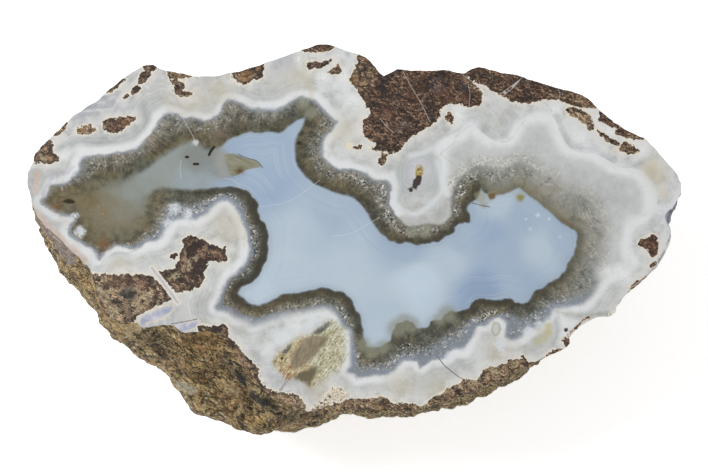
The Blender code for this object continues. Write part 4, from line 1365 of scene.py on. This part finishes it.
def inclusions(tree, f):
    """Coats for what the agate holds: the plume, the olive fang, the drops, and the hollow and skin at the tip."""
    ripple, grit = f["ripple"], f["grit"]
    plume = zone(tree, moved(tree, f["plume"], ripple, 1.8, grit, 1.4), -0.7, 0.9)
    fang_colour = add(
        tree, "ValToRGB", {0: f["fang_ridge"]},
        stops=[(0.32, "7F7C62"), (0.5, "8F8D73"), (0.68, "A09E86")],
    )
    skin = zone(tree, moved(tree, f["skin"], grit, 0.5), -0.05, 0.1)
    return (
        (plume, plume_inclusion(tree, f)),
        ((zone(tree, f["fang"], -0.1, 0.3), 0.95), fang_colour),
        ((zone(tree, f["fang"], -0.1, 0.3), f["rust"]), "5E4520"),
        ((f["fog"], 0.8), "A7A79F"),
        ((zone(tree, moved(tree, f["brown_drop"], grit, 0.8), -0.2, 0.4), 0.9), "6E5428"),
        ((zone(tree, moved(tree, f["olive_drop"], grit, 0.8), -0.2, 0.5), 0.85), "8F8637"),
        (zone(tree, moved(tree, f["hollow"], grit, 0.7), -0.15, 0.25), "30260F"),
        (skin, "B0A096"),
        ((skin, zone(tree, f["notch"], 0.5, 0.58), 0.8), "7A654C"),
        ((zone(tree, f["dark"], 0.3, 0.6, grit, 0.4), 0.95), "2E1E14"),
    )


def strips_and_rock(tree, f, host_depth, host):
    """Coats near the stone's edge: lavender strips with cream lines, the chip, host rock and a cream crust."""
    ripple, grit = f["ripple"], f["grit"]
    halo = zone(tree, moved(tree, host_depth, ripple, 0.6), -0.42, -0.2)
    strip = moved(tree, f["lavender"], ripple, 1.8, grit, 0.8)
    cream_line = zone(tree, strip, -0.4, -0.15)
    strip_colour = add(tree, "ValToRGB", {0: ripple}, stops=[(0.38, "A9AEC4"), (0.5, "BCBFCE"), (0.6, "D6D5DE")])
    crust = zone(tree, moved(tree, f["crust"], f["notch"], 1.6, grit, 1.4), -0.1, 0.2)
    crust_colour = add(tree, "ValToRGB", {0: grit}, stops=[(0.4, "B9A88E"), (0.5, "DDD2BC"), (0.58, "F3ECDD")])
    return (
        ((cream_line, zone(tree, f["clump"], 0.4, 0.55), 0.9), "E6DBC4"),
        (zone(tree, strip, -0.1, 0.25), strip_colour),
        ((zone(tree, f["chip"], 0.0, 0.3), 0.9), "8E90A6"),
        ((halo, 0.9), "F0E8D8"),
        (host, host_rock(tree, f)),
        (crust, crust_colour),
        ((crust, zone(tree, f["facet"], 0.26, 0.2), zone(tree, ripple, 0.4, 0.5)), "4A4237"),
        ((crust, zone(tree, f["facet"], 0.8, 0.86), 0.7), "8C7358"),
    )


def veins_and_cracks(tree, f):
    """Coats for the thin lines on the face, by the distance in mm from each."""
    grit = f["grit"]
    rusty = moved(tree, f["rusty_line"], f["notch"], 1.6)
    return (
        ((zone(tree, f["sheet"], 1.05, 0.85, grit, 0.7), 0.95), "ECE4D6"),
        ((zone(tree, f["sheet"], 0.6, 0.35, grit, 0.5), 0.9), "BBBCCB"),
        ((zone(tree, moved(tree, f["violet_line"], grit, 0.6), 0.35, 0.05), 0.7), "857279"),
        ((zone(tree, f["vein"], 0.17, 0.03, grit, 0.12), 0.9), "CFC9C4"),
        ((zone(tree, f["seam"], 0.22, 0.0, grit, 0.12), 0.35), "77736A"),
        ((zone(tree, f["hair"], 0.18, 0.04, grit, 0.12), 0.5), "E8EDF2"),
        ((zone(tree, f["crack"], 0.3, 0.08, grit, 0.2), 0.85), "51412B"),
        (zone(tree, f["speck"], 0.5, 0.25, grit, 0.2), "1F1A14"),
        ((zone(tree, rusty, 0.5, 0.3), 0.6), "DCC8B4"),
        (zone(tree, moved(tree, rusty, grit, 0.9), 0.22, 0.02), "5C4332"),
    )


def polished_agate():
    """Polished agate: chalcedony and quartz ground flat and buffed to a gloss, with the softer rock duller."""
    material, tree = new_material("polished_agate")
    f = measures(tree, FACE_FIELDS, FACE_RUNS, FACE_NOISES)
    grains(tree, f)
    ripple, grit = f["ripple"], f["grit"]
    # Edges of the grey and quartz zones: crisp in most places, and a few mm wide where the stone is cloudy
    wall = moved(tree, f["wall"], ripple, 1.5)
    blur = add(tree, "Math", {0: f["blur"], 1: 1.1, 2: 0.0}, operation="MULTIPLY_ADD")
    outer = add(tree, "Math", {0: f["blur"], 1: -2.6, 2: -0.3}, operation="MULTIPLY_ADD")
    in_wall = add(tree, "MapRange", {0: wall, 1: outer, 2: blur}, interpolation_type="SMOOTHSTEP")
    spread = add(tree, "Math", {0: f["blur"], 1: 1.6, 2: f["quartz"]}, operation="MULTIPLY_ADD")
    soft_quartz = add(tree, "Math", {0: f["blur"], 1: 1.8, 2: 0.2}, operation="MULTIPLY_ADD")
    spread = moved(tree, spread, ripple, 1.6)
    in_quartz = add(tree, "MapRange", {0: spread, 1: -0.3, 2: soft_quartz}, interpolation_type="SMOOTHSTEP")
    # The shore is scalloped by crystal tips 2.2 mm across, and melts into the brown arm at the left
    scallop = add(tree, "TexVoronoi", {"Vector": f["shore"], "Scale": 1 / 2.2}, feature="F1")
    bumpy = add(tree, "Math", {0: scallop, 1: f["scallop"]}, operation="MULTIPLY")
    shore = add(tree, "Math", {0: bumpy, 1: 1.2, 2: f["pool"]}, operation="MULTIPLY_ADD")
    shore = add(tree, "Math", {0: moved(tree, shore, ripple, 0.6), 1: -0.3}, operation="ADD")
    tip = times(tree, f["arm"], f["arm"])
    soft_shore = add(tree, "Math", {0: tip, 1: 8.0, 2: 0.35}, operation="MULTIPLY_ADD")
    far_shore = add(tree, "Math", {0: tip, 1: -4.0, 2: -0.15}, operation="MULTIPLY_ADD")
    in_pool = add(tree, "MapRange", {0: shore, 1: far_shore, 2: soft_shore}, interpolation_type="SMOOTHSTEP")
    dark_tips = times(tree, zone(tree, shore, -1.5, -0.1, grit, 0.5), zone(tree, shore, 0.45, 0.1), f["shade"], 0.8)
    host_depth = moved(tree, f["host"], f["notch"], 1.5, grit, 0.8)
    host_depth = add(tree, "Math", {0: host_depth, 1: 0.12}, operation="ADD")
    host = zone(tree, host_depth, -0.06, 0.06)
    colour = paint(
        tree, eye_rings(tree, f, white_chalcedony(tree, f)),
        (in_wall, grey_chalcedony(tree, f)),
        ((in_quartz, in_wall), quartz_lining(tree, f)),
        (in_pool, blue_chalcedony(tree, f)),
        (dark_tips, "3A372D"),
        *cavity_marks(tree, f),
        *inclusions(tree, f),
        *strips_and_rock(tree, f, host_depth, host),
        *veins_and_cracks(tree, f),
    )
    roughness = add(tree, "MapRange", {0: host, 3: POLISHED_ROUGHNESS, 4: HOST_ROCK_ROUGHNESS})
    bump = add(tree, "Bump", {"Height": times(tree, host, grit), "Strength": 0.25, "Distance": 0.15 * MM})
    look = {"Base Color": colour, "Roughness": roughness, "Normal": bump, "IOR": QUARTZ_IOR}
    add(tree, "OutputMaterial", {"Surface": add(tree, "BsdfPrincipled", look)})
    return material


def weathered_rind():
    """Weathered rind: a rough, dull skin of brown and ochre rock, with glassy patches of bare chalcedony, and painted
    highlights and shade that follow its relief, ledges and crevices.
    """
    material, tree = new_material("weathered_rind")
    f = measures(tree, ("relief",) + tuple(RIND_SPOTS), RIND_RUNS, RIND_NOISES)
    layered, region, patch, ripple, grain = f["rind_run"], f["region"], f["patch"], f["ripple"], f["grain"]
    brown = rock(tree, layered, 1.5, "0E0703", "2C1D0F", "846436", "CCA45E", "F6D38A", "FFF2CC")
    facet = add(tree, "TexVoronoi", {"Vector": layered, "Scale": 1 / 0.42}, feature="F1").node.outputs["Color"]
    # Dark thin lines: painted shade in the creases between the rind's flakes
    shaded_fold = strokes(tree, f["shaded_fold"], 0.055)
    # Pale thin lines: a painted highlight on the lit edges of the ledges
    lit_edge_line = strokes(tree, f["pale_edge"], 0.03)
    ledge = f["ledge"]
    # Bands along each ledge: a painted highlight on its top edge and a painted shadow just below it
    lit_ledge_top = times(tree, zone(tree, ledge, 0.43, 0.48), zone(tree, ledge, 0.505, 0.495))
    shaded_ledge_foot = times(tree, zone(tree, ledge, 0.495, 0.51), zone(tree, ledge, 0.56, 0.52))
    streaked = moved(tree, patch, grain, 0.5)
    # Bare chalcedony patches in their own pale amber, lightened further as painted light where the rind turns away
    # from the lamp
    glass = add(tree, "ValToRGB", {0: streaked}, stops=[(0.32, "BE9050"), (0.5, "DCC08A"), (0.66, "F2E4BE")])
    crevice_shade_share = zone(tree, moved(tree, ripple, grain, 0.8), 0.72, 0.5)
    # Masks from the relief for painted light: painted shade in its hollows and a painted highlight on its knobs
    hollow = zone(tree, f["relief"], -0.02, -0.4)
    knob = zone(tree, f["relief"], 0.05, 0.5)
    colour = paint(
        tree, brown,
        ((zone(tree, region, 0.52, 0.62), 0.3), "C8A060", "SOFT_LIGHT"),
        ((zone(tree, region, 0.46, 0.38), 0.25), "3A2C1C"),
        ((zone(tree, patch, 0.53, 0.62), 0.4), "6E6B4A"),
        ((zone(tree, patch, 0.47, 0.38), 0.45), "8A5A40"),
        # Golden colour and painted highlight, lifting the rind where it turns away from the lamp
        ((f["golden_and_highlit"], zone(tree, ripple, 0.3, 0.55), 0.7), "D8A858", "SOFT_LIGHT"),
        ((f["golden_and_highlit"], 0.28), "CBA878"),
        ((f["golden_and_highlit"], zone(tree, grain, 0.47, 0.6), 0.75), "E6BE78"),
        ((f["rusty"], zone(tree, ripple, 0.35, 0.6), 0.55), "9A5B3A"),
        # Painted highlight on the raised knobs and painted shade in the hollows
        ((knob, 0.5), "D6B680"),
        ((hollow, 0.55), "22180E"),
        ((f["mossy"], zone(tree, ripple, 0.3, 0.6), 0.85), "3E3922"),
        ((f["amber"], zone(tree, ripple, 0.35, 0.55), 0.85), "B5803F"),
        # Painted highlight along the ledge edges
        ((lit_edge_line, zone(tree, ripple, 0.44, 0.58), 0.7), "EBD29E"),
        # Painted shade in the folds
        ((shaded_fold, zone(tree, patch, 0.38, 0.52), 0.85), "140C06"),
        # Painted highlight on the ledge tops and painted shadow under the ledges
        ((lit_ledge_top, zone(tree, ripple, 0.36, 0.52), 0.75), "F0D29A"),
        ((shaded_ledge_foot, 0.68), "1A1008"),
        ((zone(tree, facet, 0.82, 0.9), 0.85), "F0DFB8"),
        ((zone(tree, facet, 0.18, 0.1), 0.8), "1C140D"),
        # Bare chalcedony patches, partly own colour and partly painted light
        (zone(tree, moved(tree, f["pale"], ripple, 0.9, grain, 0.5), 0.3, 0.5), glass),
        (zone(tree, moved(tree, f["frost"], ripple, 0.9, grain, 1.2), 0.3, 0.7), "D3C9AE"),
        ((f["amber"], f["pale"], 0.8), "B98A50"),
        (zone(tree, moved(tree, f["mauve_skin"], ripple, 0.9), 0.3, 0.45), "B0A096"),
        ((f["mauve_skin"], zone(tree, grain, 0.5, 0.58), 0.7), "83705A"),
        (zone(tree, times(tree, f["violet"], ripple), 0.08, 0.2), "A9A6B6"),
        # Painted shade in the crevice under the face's edge, broken up a little
        ((zone(tree, f["crevice"], 0.15, 0.7), crevice_shade_share, 0.95), "150F09"),
    )
    raised = add(tree, "Math", {0: ripple, 1: 1.8, 2: grain}, operation="MULTIPLY_ADD")
    sunk = add(tree, "Math", {0: shaded_ledge_foot, 1: 0.5, 2: times(tree, shaded_fold, 0.25)}, operation="MULTIPLY_ADD")
    height = add(tree, "Math", {0: raised, 1: sunk}, operation="SUBTRACT")
    bump = add(tree, "Bump", {"Height": height, "Strength": 1.0, "Distance": 1.0 * MM})
    look = {"Base Color": colour, "Roughness": RIND_ROUGHNESS, "Normal": bump, "IOR": QUARTZ_IOR}
    add(tree, "OutputMaterial", {"Surface": add(tree, "BsdfPrincipled", look)})
    return material


# Stage: how far the table reaches in metres, how much it glows, and the light of the room and the lamp
TABLE_REACH = 1.5
TABLE_GLOW = 0.7
ROOM_LIGHT = 0.4
LAMP_SPOT = Vector((-0.55, 0.15, 0.7))
LAMP_SIZE = 0.5
LAMP_POWER = 5.0


def pale_table():
    """A smooth white table top, lit a little from within like a light table, so the shadow on it stays faint."""
    material, tree = new_material("white_acrylic")
    look = {"Base Color": "EFEFEF", "Roughness": 0.6, "Emission Color": "FFFFFF", "Emission Strength": TABLE_GLOW}
    add(tree, "OutputMaterial", {"Surface": add(tree, "BsdfPrincipled", look)})
    data = bpy.data.meshes.new("table")
    corners = [(x * TABLE_REACH, y * TABLE_REACH, 0) for x, y in ((-1, -1), (1, -1), (1, 1), (-1, 1))]
    data.from_pydata(corners, [], [(0, 1, 2, 3)])
    data.materials.append(material)
    table = bpy.data.objects.new("table", data)
    bpy.context.scene.collection.objects.link(table)


def soft_light():
    """A pale room all round and one broad lamp from the upper left."""
    world = bpy.data.worlds.new("room")
    world.use_nodes = True
    background = world.node_tree.nodes["Background"]
    background.inputs["Color"].default_value = linear("FFFFFF")
    background.inputs["Strength"].default_value = ROOM_LIGHT
    bpy.context.scene.world = world
    lamp_data = bpy.data.lights.new("lamp", "AREA")
    lamp_data.shape = "DISK"
    lamp_data.size = LAMP_SIZE
    lamp_data.energy = LAMP_POWER
    lamp = bpy.data.objects.new("lamp", lamp_data)
    lamp.location = LAMP_SPOT
    lamp.rotation_euler = LAMP_SPOT.to_track_quat("Z", "Y").to_euler()
    bpy.context.scene.collection.objects.link(lamp)


mesh = build_stone()
mesh.materials.append(polished_agate())
mesh.materials.append(weathered_rind())
stone = bpy.data.objects.new("banded_agate_nodule", mesh)
bpy.context.scene.collection.objects.link(stone)
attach(stone, "root")
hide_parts("agate_nodule")

pale_table()
soft_light()
bpy.context.scene.view_settings.view_transform = "Standard"
